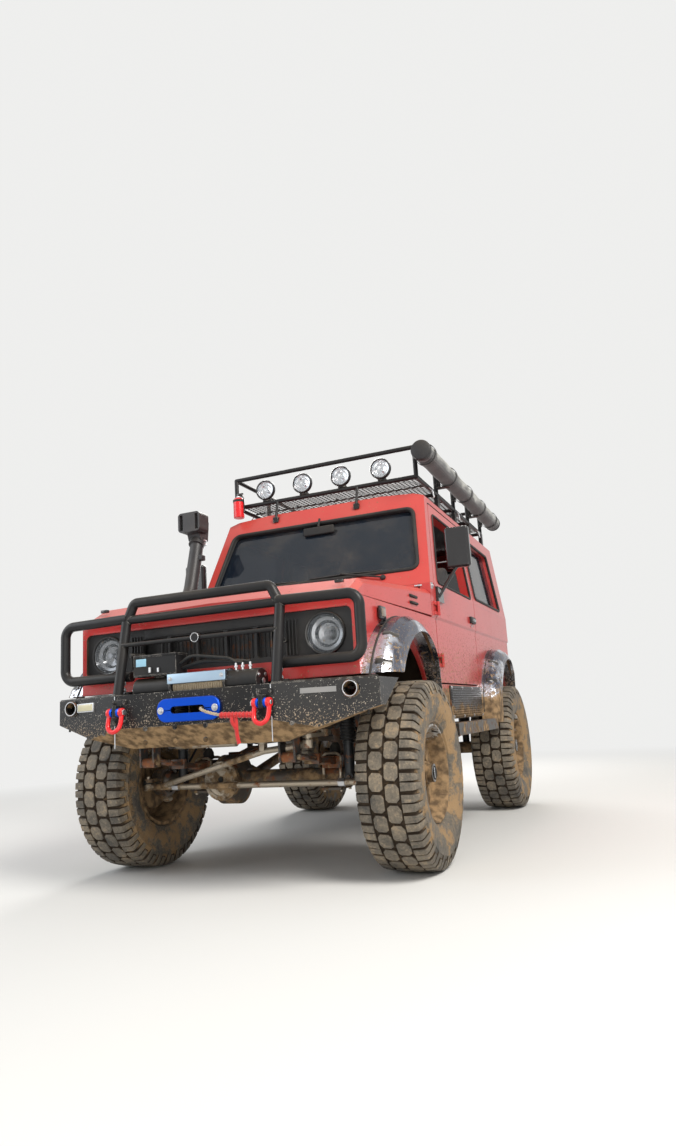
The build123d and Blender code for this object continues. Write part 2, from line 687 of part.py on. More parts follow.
def springs():
    pieces = []
    for y in (0, REAR_AXLE_Y):
        one = leaf_spring(SPRING_X, y)
        pieces += [one, mirrored(one)]
    return group(*pieces)


def axle_beam(y, half_length, face):
    """Axle tube with its offset differential; face is -1 where the cover looks forward, +1 back."""
    tube = Pos(0, y, AXLE_HEIGHT) * Rot(0, 90, 0) * Cylinder(AXLE_TUBE_RADIUS, 2 * half_length)
    wide, narrow = DIFF_LENGTH / 2 + DIFF_TAPER, DIFF_LENGTH / 2 - 10
    bowl = turned([(-wide, 0), (-wide, 45), (-narrow, DIFF_RADIUS), (narrow, DIFF_RADIUS), (wide, 45),
                   (wide, 0)],
                  (DIFF_OFFSET, y, AXLE_HEIGHT))
    cover = turned([(0, 0), (0, 60), (16, DIFF_COVER_RADIUS), (40, DIFF_COVER_RADIUS), (40, 0)],
                   (0, 0, 0), Axis.Y)
    snout = turned([(0, 0), (0, 62), (70, 55), (95, 40), (95, 0)], (0, 0, 0), Axis.Y)
    spin = Rot(0, 0, 0 if face < 0 else 180)
    cover_at = Pos(DIFF_OFFSET, y + face * 106, AXLE_HEIGHT) * spin * cover
    snout_at = Pos(DIFF_OFFSET, y - face * 84, AXLE_HEIGHT) * spin * snout
    bowl = bowl & block(-800, 800, y - 90, y + 90, 0, 900)
    return joined(tube, bowl, cover_at, snout_at)


def front_axle():
    beam = axle_beam(0, KINGPIN_X, -1)
    ball = Pos(KINGPIN_X, 0, AXLE_HEIGHT) * Sphere(BALL_RADIUS)
    beam = joined(beam, ball, mirrored(ball), *shock_studs(0, -1))
    for sign in (1, -1):
        bore = Pos(sign * KINGPIN_X, 0, AXLE_HEIGHT) * Cylinder(KINGPIN_RADIUS + PIN_CLEARANCE,
                                                                3 * BALL_RADIUS)
        beam = beam - bore
    return beam


def rear_axle():
    beam = axle_beam(REAR_AXLE_Y, HALF_TRACK - 75, 1)
    spindle = Pos(0, REAR_AXLE_Y, AXLE_HEIGHT) * Rot(0, 90, 0) * Cylinder(
        SPINDLE_RADIUS, 2 * (HALF_TRACK + SPINDLE_PAST_RIM))
    plate = Pos(HALF_TRACK - 82, REAR_AXLE_Y, AXLE_HEIGHT) * Rot(0, 90, 0) * Cylinder(118, 10)
    return joined(beam, spindle, plate, mirrored(plate), *shock_studs(REAR_AXLE_Y, 1))


def knuckle(sign):
    """The steering knuckle round the axle's ball, with kingpins, spindle and steering arm."""
    cavity = BALL_RADIUS + KNUCKLE_GAP
    outer = cavity + KNUCKLE_WALL
    cup = turned([(-KNUCKLE_MOUTH, cavity), (-KNUCKLE_MOUTH, outer), (KNUCKLE_FACE - 24, outer),
                  (KNUCKLE_FACE, outer - 24), (KNUCKLE_FACE, 0), (cavity, 0), (cavity, cavity - 26),
                  (cavity - 26, cavity)], (KINGPIN_X, 0, AXLE_HEIGHT))
    pieces = [cup]
    for up in (1, -1):
        pin = Pos(KINGPIN_X, 0, AXLE_HEIGHT + up * (cavity - 8)) * Cylinder(KINGPIN_RADIUS, 36)
        cap = Pos(KINGPIN_X, 0, AXLE_HEIGHT + up * (outer + 4)) * Cylinder(24, 16)
        pieces += [pin, cap & block(KINGPIN_X - KNUCKLE_MOUTH, 800, -60, 60, 0, 900)]
    pieces.append(rod((KINGPIN_X + cavity + 2, 0, AXLE_HEIGHT),
                      (HALF_TRACK + SPINDLE_PAST_RIM, 0, AXLE_HEIGHT), SPINDLE_RADIUS))
    arm_z = AXLE_HEIGHT + STEER_ARM_DROP
    pieces.append(block(KINGPIN_X - KNUCKLE_MOUTH, KINGPIN_X + 20, -STEER_ARM, -cavity - 4, arm_z,
                        arm_z + ARM_THICKNESS))
    eye_at = Pos(KINGPIN_X, -STEER_ARM, arm_z + ARM_THICKNESS / 2)
    pieces.append(eye_at * Cylinder(20, ARM_THICKNESS))
    shape = joined(*pieces) - eye_at * Cylinder(ROD_PIN_RADIUS + PIN_CLEARANCE, 60)
    return shape if sign > 0 else mirrored(shape)


def wheel_rim(sign, x, y, z, brake=None):
    """A rim with its hub cap, and the brake disc or drum given as (near, far, radius)."""
    solid = turned(rim_outline(), (0, 0, 0))
    cap = Pos(HUB_REACH + 12, 0, 0) * Rot(0, 90, 0) * Cylinder(HUB_RADIUS - 8, 24)
    solid = solid + cap
    if brake:
        near, far, radius = brake
        solid = solid + turned([(near, HUB_RADIUS - 6), (near, radius), (far, radius),
                                (far, HUB_RADIUS - 6)],
                               (0, 0, 0))
    if sign < 0:
        solid = mirrored(solid)
    return Pos(x, y, z) * solid


def tyre_profile():
    """Half-solid tyre outline: bead seats against the rim, sidewalls, shoulders and tread."""
    half, tread = TYRE_WIDTH / 2, TREAD_WIDTH / 2
    bead, top, rim_half = RIM_RADIUS + 15, TYRE_RADIUS, RIM_WIDTH / 2
    side = [(tread * 0.55, top), (tread, top - 8), (half - 6, top - 42), (half, (bead + top) / 2 + 10),
            (half - 12, bead + 28), (rim_half - 9, bead), (rim_half - 26, RIM_RADIUS + 2 + SHUT_GAP)]
    return [(-a, r) for a, r in reversed(side)] + side


def steering_links():
    """Tie rod between both steering arms and cranked drag link to the pitman arm, as one rigid piece."""
    arm_z = AXLE_HEIGHT + STEER_ARM_DROP
    rod_z = arm_z - 22
    parts = [rod((-KINGPIN_X, -STEER_ARM, rod_z), (KINGPIN_X, -STEER_ARM, rod_z), ROD_RADIUS)]
    for sign in (1, -1):
        parts.append(Pos(sign * KINGPIN_X, -STEER_ARM, rod_z) * Cylinder(20, 30))
        parts.append(Pos(sign * KINGPIN_X, -STEER_ARM, arm_z + 4) * Cylinder(ROD_PIN_RADIUS, 46))
    end = (PITMAN_X, PITMAN_Y - STEER_ARM, PITMAN_HEIGHT)
    parts.append(bar([(-KINGPIN_X + 60, -STEER_ARM - 4, rod_z), DRAG_LINK_BEND, end], ROD_RADIUS - 1, 120))
    parts.append(Pos(*end) * Cylinder(20, 32))
    parts.append(rod(end, (end[0], end[1], end[2] + 24 + ARM_THICKNESS), ROD_PIN_RADIUS))
    return joined(*parts)


def pitman_arm():
    z = PITMAN_HEIGHT + 24
    arm = block(PITMAN_X - 16, PITMAN_X + 16, PITMAN_Y - STEER_ARM, PITMAN_Y, z, z + ARM_THICKNESS)
    eye = Pos(PITMAN_X, PITMAN_Y - STEER_ARM, z + ARM_THICKNESS / 2) * Cylinder(20, ARM_THICKNESS)
    boss = Pos(PITMAN_X, PITMAN_Y, z + 14) * Cylinder(24, 28)
    shaft = Pos(PITMAN_X, PITMAN_Y, z + 60) * Cylinder(14, 80)
    hole = Pos(PITMAN_X, PITMAN_Y - STEER_ARM, z) * Cylinder(ROD_PIN_RADIUS + PIN_CLEARANCE, 80)
    return joined(arm, eye, boss, shaft) - hole


def steering_box():
    z = PITMAN_HEIGHT + 24 + 34
    side = FRAME_X + FRAME_WIDTH / 2 + SHUT_GAP
    box = block(side, PITMAN_X + STEERING_BOX_HALF, PITMAN_Y - 40, PITMAN_Y + 60, z, z + 110)
    return box - Pos(PITMAN_X, PITMAN_Y, z) * Cylinder(14 + PIN_CLEARANCE, 200)


def front_bumper():
    """Folded plate bumper: flat winch section in the middle, wings that sweep back and up."""
    body = bumper_form(0) - bumper_form(BUMPER_PLATE)
    bay = block(-WINCH_BAY, WINCH_BAY, BUMPER_FACE_Y + BUMPER_PLATE + 2, 0, BUMPER_TOP_Z - 20,
                BUMPER_TOP_Z + 10)
    tray = block(-WINCH_BAY - 10, WINCH_BAY + 10, BUMPER_FACE_Y + 2, BUMPER_BACK_Y, TRAY_Z - 8, TRAY_Z)
    window = block(-85, 85, BUMPER_FACE_Y - 44, BUMPER_FACE_Y + 30, FAIRLEAD_Z - 21, FAIRLEAD_Z + 19)
    body = body - bay - window + tray
    for sign in (1, -1):
        front, back = (sign * FOG_X, FOG_FRONT, FOG_Z), (sign * FOG_X, FOG_FRONT + FOG_SLEEVE, FOG_Z)
        body = joined(body, rod(front, back, FOG_RADIUS + FOG_WALL)) - rod(front, back, FOG_RADIUS)
        mount = block(sign * FRAME_X - 28, sign * FRAME_X + 28, BUMPER_FACE_Y + 4, FRAME_FRONT_Y - SHUT_GAP,
                      BUMPER_BOTTOM_Z + 20, BUMPER_BOTTOM_Z + 90)
        body = body + (mount & bumper_form(0))
    return body


def bull_bar():
    y, edge = BULL_Y, BULL_UPRIGHT_X
    side = bar([(edge - 25, y, BULL_LOW_Z), (BULL_HALF, y, BULL_LOW_Z), (BULL_HALF, y, BULL_HIGH_Z),
                (edge - 10, y - 6, BULL_HIGH_Z + 5)], BULL_TUBE, 48)
    upright = rod((edge, BUMPER_FACE_Y + 24, BUMPER_TOP_Z - 40), (edge, y, BULL_HIGH_Z + 2), BULL_TUBE)
    upright = upright - block(-800, 800, -900, 0, 0, BUMPER_TOP_Z + SHUT_GAP)
    hoop = bar([(-edge, y, BULL_HIGH_Z - 10), (-edge + 40, y, BULL_HOOP_Z), (edge - 40, y, BULL_HOOP_Z),
                (edge, y, BULL_HIGH_Z - 10)], BULL_TUBE, 30)
    cross = rod((-edge, y, BULL_HIGH_Z), (edge, y, BULL_HIGH_Z), BULL_TUBE - 3)
    low = rod((-edge, y - 35, 1000), (edge, y - 35, 1000), 9)
    return joined(upright, mirrored(upright), side, mirrored(side), hoop, cross, low)


def winch():
    """Winch drum between its motor and gearbox on the bumper's tray, with the control box above."""
    y, z = WINCH_Y, WINCH_Z
    drum = rod((-100, y, z), (150, y, z), 34)
    motor = rod((150, y, z), (290, y, z), 50)
    gear = rod((-285, y, z), (-100, y, z), 48)
    feet = [block(x - 14, x + 14, y - 46, y + 46, TRAY_Z + SHUT_GAP, z) for x in (-110, 160)]
    ties = [rod((-110, y + side * 44, z + 20), (160, y + side * 44, z + 20), 9) for side in (1, -1)]
    box_ = block(-285, -78, y - 40, y + 40, z + 52, 946)
    post = block(-200, -150, y - 14, y + 14, z, z + 60)
    return joined(drum, motor, gear, *feet, *ties, post, box_)


def fairlead():
    plate = block(-145, 145, BUMPER_FACE_Y - 16, BUMPER_FACE_Y - SHUT_GAP, FAIRLEAD_Z - 46, FAIRLEAD_Z + 46)
    slot = block(-80, 80, BUMPER_FACE_Y - 30, BUMPER_FACE_Y + 10, FAIRLEAD_Z - 17, FAIRLEAD_Z + 15)
    return rounded(plate, Axis.Y, 30) - rounded(slot, Axis.Y, 15)


def recovery_shackles():
    """A lug on the bumper's face, a bow shackle that hangs from it on a pin, and its two isolators."""
    reach, drop = -SHACKLE_BOW, -SHACKLE_DROP
    bow = bar([(-22, -6, 0), (-30, reach, drop), (30, reach, drop), (22, -6, 0)], SHACKLE_ROD, 26)
    pin = rod((-38, -6, 0), (38, -6, 0), SHACKLE_ROD)
    isolators = rod((-21, -6, 0), (21, -6, 0), ISOLATOR_RADIUS)
    lug = block(-10, 10, -20, 20, -22, 30)
    piece = joined(bow, pin, isolators, lug)
    places = [(sign * SHACKLE_X, BUMPER_FACE_Y - SHACKLE_STAND, SHACKLE_Z) for sign in (1, -1)]
    return group(*(Pos(*place) * piece for place in places))


def roof_rack():
    """Tube basket that stands on the roof gutters and on two clamps over the windscreen."""
    t, half = RACK_TUBE, RACK_HALF
    parts = []
    for z in (RACK_LOW_Z, RACK_TOP_Z):
        loop = [(-half, RACK_FRONT, z), (half, RACK_FRONT, z), (half, RACK_REAR, z), (-half, RACK_REAR, z)]
        for i in range(4):
            parts.append(rod(loop[i], loop[(i + 1) % 4], t))
            parts.append(Pos(*loop[i]) * Sphere(t))
    for y in RACK_POSTS:
        for x in (-half, half):
            parts.append(rod((x, y, RACK_LOW_Z), (x, y, RACK_TOP_Z), t))
        parts.append(rod((-half, y, RACK_LOW_Z), (half, y, RACK_LOW_Z), t - 2))
    for y in RACK_POSTS[1:]:
        for x in (-half, half):
            parts.append(block(x - 12, x + 12, y - 20, y + 20, roof_height(abs(x) - 12) + SHUT_GAP,
                               RACK_LOW_Z))
        parts.append(block(half, AWNING_X - AWNING_RADIUS - SHUT_GAP, y - 25, y + 25, AWNING_Z - 40,
                           AWNING_Z + 40))
    for x in RACK_CLAMPS:
        foot_y, foot_z = screen_line(GUTTER_Z - 4) - 10, GUTTER_Z - 4
        parts.append(rod((x, RACK_FRONT - 6, RACK_LOW_Z - 4), (x, foot_y, foot_z), 8))
        foot = side_prism([(foot_y - 8, foot_z - 16), (foot_y - 8, foot_z + 16),
                           (screen_line(foot_z + 16) - SHUT_GAP, foot_z + 16),
                           (screen_line(foot_z - 16) - SHUT_GAP, foot_z - 16)], x - 16, x + 16)
        parts.append(foot)
    return joined(*parts)


def rack_lamps():
    r = RACK_LAMP_RADIUS
    lamp = turned([(0, 0), (0, r), (26, r), (50, 34), (54, 0)], (0, 0, 0), Axis.Y)
    top = RACK_TOP_Z - RACK_LAMP_Z
    bracket = block(-9, 9, 2, -RACK_LAMP_Y - RACK_TUBE - SHUT_GAP, r - 6, top)
    one = lamp + bracket
    return group(*(Pos((k - 1.5) * RACK_LAMP_SPACING, RACK_FRONT + RACK_LAMP_Y, RACK_LAMP_Z) * one
                   for k in range(4)))


def awning():
    r = AWNING_RADIUS
    bag = rod((AWNING_X, AWNING_FRONT, AWNING_Z), (AWNING_X, AWNING_FRONT + AWNING_LENGTH, AWNING_Z), r)
    return bag


def mirror_assembly(sign):
    head = block(MIRROR_X - MIRROR_WIDTH / 2, MIRROR_X + MIRROR_WIDTH / 2, MIRROR_Y - MIRROR_DEPTH / 2,
                 MIRROR_Y + MIRROR_DEPTH / 2, MIRROR_Z - MIRROR_HEIGHT / 2, MIRROR_Z + MIRROR_HEIGHT / 2)
    head = fillet(head.edges(), 14)
    foot = (BODY_HALF + 8, DOOR_FRONT_Y + 30, BELT_Z - 70)
    low = rod(foot, (MIRROR_X, MIRROR_Y, MIRROR_Z - MIRROR_HEIGHT / 2 + 25), 7)
    high = rod((BODY_HALF + 8, DOOR_FRONT_Y + 100, BELT_Z - 25), (MIRROR_X, MIRROR_Y, MIRROR_Z - 80), 7)
    base = block(BODY_HALF + SHUT_GAP, BODY_HALF + 14, DOOR_FRONT_Y + 10, DOOR_FRONT_Y + 120, BELT_Z - 90,
                 BELT_Z - 10)
    shape = joined(head, low, high, base)
    return shape if sign > 0 else mirrored(shape)


def snorkel():
    """Air intake from the right wing up along the windscreen pillar, with a head that faces forward."""
    r = SNORKEL_RADIUS
    x = -BODY_HALF - SNORKEL_GAP - r
    top = SNORKEL_TOP_Z
    path = [(-wing_half(330) - SHUT_GAP, 330, 1064), (x, 330, 1064), (x, 372, 1240), (x, 500, 1410),
            (x, 600, top - 130)]
    pipe = bar(path, r, [42, 150, 260])
    pipe = pipe - plan_prism(wing_outline(-SHUT_GAP), 900, 1200)
    neck = side_prism([(560, top - 160), (640, top - 160), (656, top - 40), (630, top), (500, top),
                       (500, top - 118), (548, top - 124)], x - 42, x + 42)
    head = block(x - 74, x + 74, 500, 600, top - 118, top)
    head = rounded(head, Axis.Y, 22) - block(x - 62, x + 62, 480, 590, top - 106, top - 12)
    collar = rod((x, 574, top - 190), (x, 598, top - 150), r + 6)
    return joined(pipe, rounded(neck, Axis.X, 10), head, collar)


def wheel_flares():
    """Thin bulged flares over the wheel openings, deepest ahead of the wheel, with pockets in them."""
    wide = FLARE_OUT - LOWER_HALF
    pieces = []
    for y, radius, z, start in ((ARCH_Y, ARCH_RADIUS, ARCH_Z, NOSE_HALF - 62),
                                (REAR_AXLE_Y, REAR_ARCH_RADIUS, REAR_ARCH_Z, LOWER_HALF + SHUT_GAP)):
        crest, wall, low = radius + FLARE_SHIFT + 10, FLARE_WALL, radius - 100
        outside = [(start, crest), (FLARE_OUT - wide * 0.45, crest - 7),
                   (FLARE_OUT - wide * 0.18, crest - 27),
                   (FLARE_OUT - wide * 0.03, crest - 55), (FLARE_OUT, crest - 83), (FLARE_OUT, low)]
        inside = [(FLARE_OUT - wall, low), (FLARE_OUT - wall, crest - 83),
                  (FLARE_OUT - wide * 0.03 - wall, crest - 60),
                  (FLARE_OUT - wide * 0.2 - wall, crest - 27 - wall),
                  (FLARE_OUT - wide * 0.5, crest - 7 - wall),
                  (start, crest - wall)]
        form = turned(outside + inside, (0, y - FLARE_SHIFT, z))
        form = form - Pos(0, y, z) * Rot(0, 90, 0) * Cylinder(radius + 4, 2 * FLARE_OUT + 10)
        form = form & block(start, FLARE_OUT, y - 2 * radius, y + 2 * radius, z, z + 2 * radius)
        for angle in FLARE_POCKETS:
            pocket = block(FLARE_OUT - wide * 0.72, FLARE_OUT - wide * 0.16, -crest - 20, -crest + 40, -9, 9)
            pocket = rounded(pocket, Axis.Y, 8)
            form = form - Pos(0, y - FLARE_SHIFT, z) * Rot(-angle, 0, 0) * pocket
        if y < COWL_Y:
            form = form - plan_prism(wing_outline(-SHUT_GAP), 0, 2 * CREASE_Z)
            form = form - block(0, FLARE_OUT + 10, NOSE_Y - 400, WING_LOW_Y, 0, NOSE_BOTTOM_Z)
        pieces += [form, mirrored(form)]
    return group(*pieces)


def rock_sliders():
    """Box-section sliders on the frame's sides, and the plates that guard the sills above them."""
    half = SLIDER_SIZE / 2
    tube = block(SLIDER_X - half, SLIDER_X + half, SLIDER_FRONT, SLIDER_REAR, SLIDER_Z - half,
                 SLIDER_Z + half)
    legs = [block(FRAME_X + FRAME_WIDTH / 2 + SHUT_GAP, SLIDER_X, y - 25, y + 25, SLIDER_Z - 20,
                  SLIDER_Z + 25)
            for y in (640, 1240)]
    one = joined(tube, *legs)
    guard = block(LOWER_HALF + SHUT_GAP, LOWER_HALF + 8, 740, 1478, 603, 776)
    return group(one, mirrored(one), guard, mirrored(guard))


def rear_bumper():
    body = block(-690, 690, BODY_REAR + SHUT_GAP + 20, BODY_REAR + 130, 590, 740)
    body = body - block(-684, 684, BODY_REAR + 27, BODY_REAR + 124, 580, 734)
    arms = [block(s * FRAME_X - 28, s * FRAME_X + 28, FRAME_REAR_Y + SHUT_GAP, BODY_REAR + 126,
                  FRAME_END_Z + 4, SILL_Z - 4) for s in (1, -1)]
    return joined(body, *arms)


def tailgate():
    """Side-hinged rear door with its window opening and the carrier of the spare wheel."""
    panel = block(-HATCH_HALF, HATCH_HALF, BODY_REAR - HATCH_DEPTH, BODY_REAR, HATCH_BOTTOM_Z, HATCH_TOP_Z)
    window = block(-HATCH_HALF + 90, HATCH_HALF - 90, BODY_REAR - 100, BODY_REAR + 10, BELT_Z + 45,
                   HATCH_TOP_Z - 80)
    seat_y = BODY_REAR + SPARE_GAP + TYRE_WIDTH / 2 - HUB_INSET - SHUT_GAP
    post = rod((SPARE_X, BODY_REAR - 10, SPARE_Z), (SPARE_X, seat_y, SPARE_Z), HUB_RADIUS)
    spindle = rod((SPARE_X, BODY_REAR, SPARE_Z), (SPARE_X, seat_y + HUB_INSET, SPARE_Z), SPINDLE_RADIUS)
    brace = block(SPARE_X - 150, SPARE_X + 150, BODY_REAR - 2, BODY_REAR + 14, SPARE_Z - 150, SPARE_Z + 60)
    return joined(panel - window, post, spindle, brace, *hatch_hinges(hinge_moving))


def tailgate_glass():
    return block(-HATCH_HALF + 90 + SHUT_GAP, HATCH_HALF - 90 - SHUT_GAP, BODY_REAR - 28, BODY_REAR - 22,
                 BELT_Z + 45 + SHUT_GAP, HATCH_TOP_Z - 80 - SHUT_GAP)


def engine():
    """Plain block for the engine with its sump and two mounts, and the radiator ahead of it."""
    mount = block(ENGINE_HALF - 10, FRAME_X - FRAME_WIDTH / 2 - SHUT_GAP, -32, 32, FRAME_END_Z + 40, 715)
    block_ = joined(block(-ENGINE_HALF, ENGINE_HALF, -260, 240, 700, 1080),
                    block(-120, 120, -200, 180, 620, 705), mount, mirrored(mount))
    radiator = block(-270, 270, NOSE_Y + 40 + SHUT_GAP, NOSE_Y + 96, 760, 1075)
    return group(block_, radiator)


def drivetrain():
    """Gearbox, transfer case and the propeller shafts to both axles."""
    gearbox = joined(block(-110, 110, 240 + SHUT_GAP, 520, 600, 684), block(-90, 90, 520, 760, 562, 680))
    transfer = block(-190, 120, 830, 1060, 520, 680)
    link = rod((0, 760, 620), (0, 830, 620), 25)
    pieces = [gearbox, transfer, link]
    for start, nose, way in ((830, 0, -1), (1060, REAR_AXLE_Y, 1)):
        flange = nose - way * (84 + 95 + SHUT_GAP)
        pieces.append(rod((-160, start - way * 4, 560), (DIFF_OFFSET, flange - way * 14, AXLE_HEIGHT), 24))
        pieces.append(rod((DIFF_OFFSET, flange, AXLE_HEIGHT), (DIFF_OFFSET, flange - way * 18, AXLE_HEIGHT),
                          42))
    return joined(*pieces)


def fuel_tank():
    tank = block(-285, 225, 2190, 2480, 566, FLOOR_Z - SHUT_GAP)
    return fillet(tank.edges(), 22)


def exhaust():
    """Pipe from the engine under the floor, silencer, and tail pipe over the rear axle."""
    x = EXHAUST_X
    pipe = bar([(ENGINE_HALF + SHUT_GAP, 60, 760), (x, 60, 760), (x, 120, 690), (x, 260, 500),
                (x, 1110, 495)],
               20, [38, 60, 60])
    silencer = rod((x - 8, 1100, 495), (x - 8, 1420, 495), 52)
    tail = bar([(x, 1410, 495), (x, 1720, 495), (x, 1860, 530), (x, 2260, 530), (x, 2440, 520),
                (x, 2580, 516), (x + 60, 2720, 508)], 19, 80)
    hanger = block(x - 12, x + 12, 1490, 1510, 505, FRAME_MID_Z + 4 - SHUT_GAP)
    return joined(pipe, silencer, tail, hanger)


def shock_absorbers():
    """Damper with its dust gaiter between the axle stud and the shelf above it."""
    pieces = []
    for y, way, top in ((0, -1, FRONT_SHOCK_TOP), (REAR_AXLE_Y, 1, REAR_SHOCK_TOP)):
        at = y + way * 75
        eye = rod((SHOCK_X, at - 16, AXLE_HEIGHT), (SHOCK_X, at + 16, AXLE_HEIGHT), 20)
        middle = AXLE_HEIGHT + 0.42 * (top - AXLE_HEIGHT)
        body = rod((SHOCK_X, at, AXLE_HEIGHT + 14), (SHOCK_X, at, middle), SHOCK_RADIUS - 9)
        gaiter = rod((SHOCK_X, at, middle), (SHOCK_X, at, top - 16), SHOCK_RADIUS)
        stem = rod((SHOCK_X, at, top - 16), (SHOCK_X, at, top - SHUT_GAP), 12)
        bore = rod((SHOCK_X, at - 20, AXLE_HEIGHT), (SHOCK_X, at + 20, AXLE_HEIGHT),
                   SHOCK_STUD_RADIUS + SHUT_GAP)
        one = joined(eye, body, gaiter, stem) - bore
        pieces += [one, mirrored(one)]
    return group(*pieces)


def tail_lamps():
    lamp = block(600, 680, BODY_REAR + SHUT_GAP, BODY_REAR + 22, 900, 1100)
    return group(lamp, mirrored(lamp))


def shock_studs(y, way):
    """Studs on the axle tube that carry the shock absorbers; way is -1 ahead of it and +1 behind."""
    stud = rod((SHOCK_X, y, AXLE_HEIGHT), (SHOCK_X, y + way * 104, AXLE_HEIGHT), SHOCK_STUD_RADIUS)
    return [stud, mirrored(stud)]


def rim_outline():
    """Dished steel wheel: (along, radius) from its middle, outside positive, hub and barrel in one."""
    half, bore = RIM_WIDTH / 2, SPINDLE_RADIUS + PIN_CLEARANCE
    flange, well = RIM_RADIUS + 14, RIM_RADIUS - 16
    return [(-half, flange), (-half, RIM_RADIUS), (-half + 26, RIM_RADIUS - 10), (0, well),
            (RIM_DISH - 10, well - 2), (RIM_DISH - 10, 110), (RIM_DISH + 6, 84), (RIM_DISH - 24, 78),
            (RIM_DISH - 24, HUB_RADIUS), (-HUB_INSET, HUB_RADIUS), (-HUB_INSET, bore), (HUB_REACH, bore),
            (HUB_REACH, HUB_RADIUS), (RIM_DISH - 16, HUB_RADIUS), (RIM_DISH - 16, 72), (RIM_DISH + 14, 84),
            (RIM_DISH, 110), (RIM_DISH, RIM_RADIUS - 12), (half - 26, RIM_RADIUS - 4),
            (half, RIM_RADIUS + 6),
            (half, flange), (half - 8, flange), (half - 26, RIM_RADIUS + 2), (-half + 26, RIM_RADIUS + 2),
            (-half + 8, flange)]


def spring_eye_z():
    top_leaf = AXLE_HEIGHT + AXLE_TUBE_RADIUS + SPRING_PERCH + SPRING_RISE + LEAF_COUNT * LEAF_THICKNESS
    return top_leaf - SPRING_EYE_RADIUS


def spring_hangers():
    """Plates on both sides of each spring eye, with its pin, up to the left rail."""
    pieces = []
    z = spring_eye_z()
    for middle in (0, REAR_AXLE_Y):
        for way in (1, -1):
            y = middle + way * (SPRING_HALF_LENGTH + 6)
            for side in (1, -1):
                near = SPRING_X + side * (SPRING_WIDTH / 2 + SHUT_GAP)
                pieces.append(side_prism([(y - 22, z - 18), (y + 22, z - 18), (y + 30, FRAME_END_Z + 30),
                                          (y - 30, FRAME_END_Z + 30)], near, near + side * HANGER_PLATE))
            reach = SPRING_WIDTH / 2 + HANGER_PLATE + 8
            pieces.append(rod((SPRING_X - reach, y, z), (SPRING_X + reach, y, z), SPRING_PIN_RADIUS))
    return pieces


def shock_towers():
    """Upright plate and shelf on the left rail that hold the top of each shock absorber."""
    outer = FRAME_X + FRAME_WIDTH / 2
    pieces = []
    for y, way, top, base in ((0, -1, FRONT_SHOCK_TOP, FRAME_END_Z),
                              (REAR_AXLE_Y, 1, REAR_SHOCK_TOP, FRAME_ARCH_Z)):
        at = y + way * 75
        pieces.append(block(outer - 4, outer + 6, at - 38, at + 38, base + 10, top + 8))
        pieces.append(block(outer, SHOCK_X + SHOCK_RADIUS, at - 34, at + 34, top, top + 8))
    return pieces


def arc_strip(x, y, centre, inner, outer, angle):
    """One leaf: a ring piece about a centre above it, spread along x by the spring's width."""
    def at(r, a):
        return Vector(x - SPRING_WIDTH / 2, y + r * math.sin(a), centre - r * math.cos(a))
    edges = [Edge.make_three_point_arc(at(outer, -angle), at(outer, 0), at(outer, angle)),
             Edge.make_line(at(outer, angle), at(inner, angle)),
             Edge.make_three_point_arc(at(inner, angle), at(inner, 0), at(inner, -angle)),
             Edge.make_line(at(inner, -angle), at(outer, -angle))]
    return Solid.extrude(Face(Wire(edges)), Vector(SPRING_WIDTH, 0, 0))


def bumper_form(inset):
    """The winch bumper's outside, or its inside when inset by the plate's thickness."""
    back = BUMPER_BACK_Y + (60 if inset else 0)
    end_back = BUMPER_END_BACK + (60 if inset else 0)
    half, centre = BUMPER_HALF - inset, BUMPER_CENTRE_HALF - inset * 0.1
    face, end = BUMPER_FACE_Y + inset, BUMPER_END_Y + inset
    inner = BUMPER_HALF - 80
    plan = [(-half, end), (-centre, face), (centre, face), (half, end), (half, end_back), (inner, end_back),
            (centre + 70, back), (-centre - 70, back), (-inner, end_back), (-half, end_back)]
    body = plan_prism(plan, BUMPER_BOTTOM_Z + inset, BUMPER_TOP_Z - inset)
    face_low = BUMPER_TOP_Z - BUMPER_FACE_DEPTH + inset
    under = side_prism([(BUMPER_FACE_Y - 40, 400), (0, 400), (0, BUMPER_BOTTOM_Z + inset + 1),
                        (BUMPER_BACK_Y - 20, BUMPER_BOTTOM_Z + inset), (BUMPER_FACE_Y, face_low),
                        (BUMPER_FACE_Y - 40, face_low)], -800, 800)
    slope = (BUMPER_WING_LOW_Z + 14 - BUMPER_BOTTOM_Z) / (BUMPER_HALF - BUMPER_CENTRE_HALF)
    low = BUMPER_BOTTOM_Z + inset
    side = front_prism([(BUMPER_CENTRE_HALF, 400), (900, 400),
                        (900, low + slope * (900 - BUMPER_CENTRE_HALF)),
                        (BUMPER_CENTRE_HALF, low)], -760, -200)
    rise = (BUMPER_TOP_Z + 10 - BUMPER_WING_LOW_Z) / (BUMPER_END_BACK - (-512))
    tail = side_prism([(-512, 400), (-200, 400), (-200, BUMPER_WING_LOW_Z + inset + rise * 312),
                       (-512, BUMPER_WING_LOW_Z + inset)], -900, 900)
    tail = tail - block(-BUMPER_CENTRE_HALF - 69, BUMPER_CENTRE_HALF + 69, -600, -100, 0, 1500)
    return body - under - side - mirrored(side) - tail


def roof_height(x):
    """The roof's outer height at a distance from the middle, along its straight facets."""
    facets = [(ROOF_HALF - 260, ROOF_Z - 6), (ROOF_HALF - 60, GUTTER_Z + 22), (ROOF_HALF, GUTTER_Z)]
    for (x0, z0), (x1, z1) in zip(facets, facets[1:]):
        if x <= x1:
            return z0 + (z1 - z0) * (x - x0) / (x1 - x0)
    return GUTTER_Z


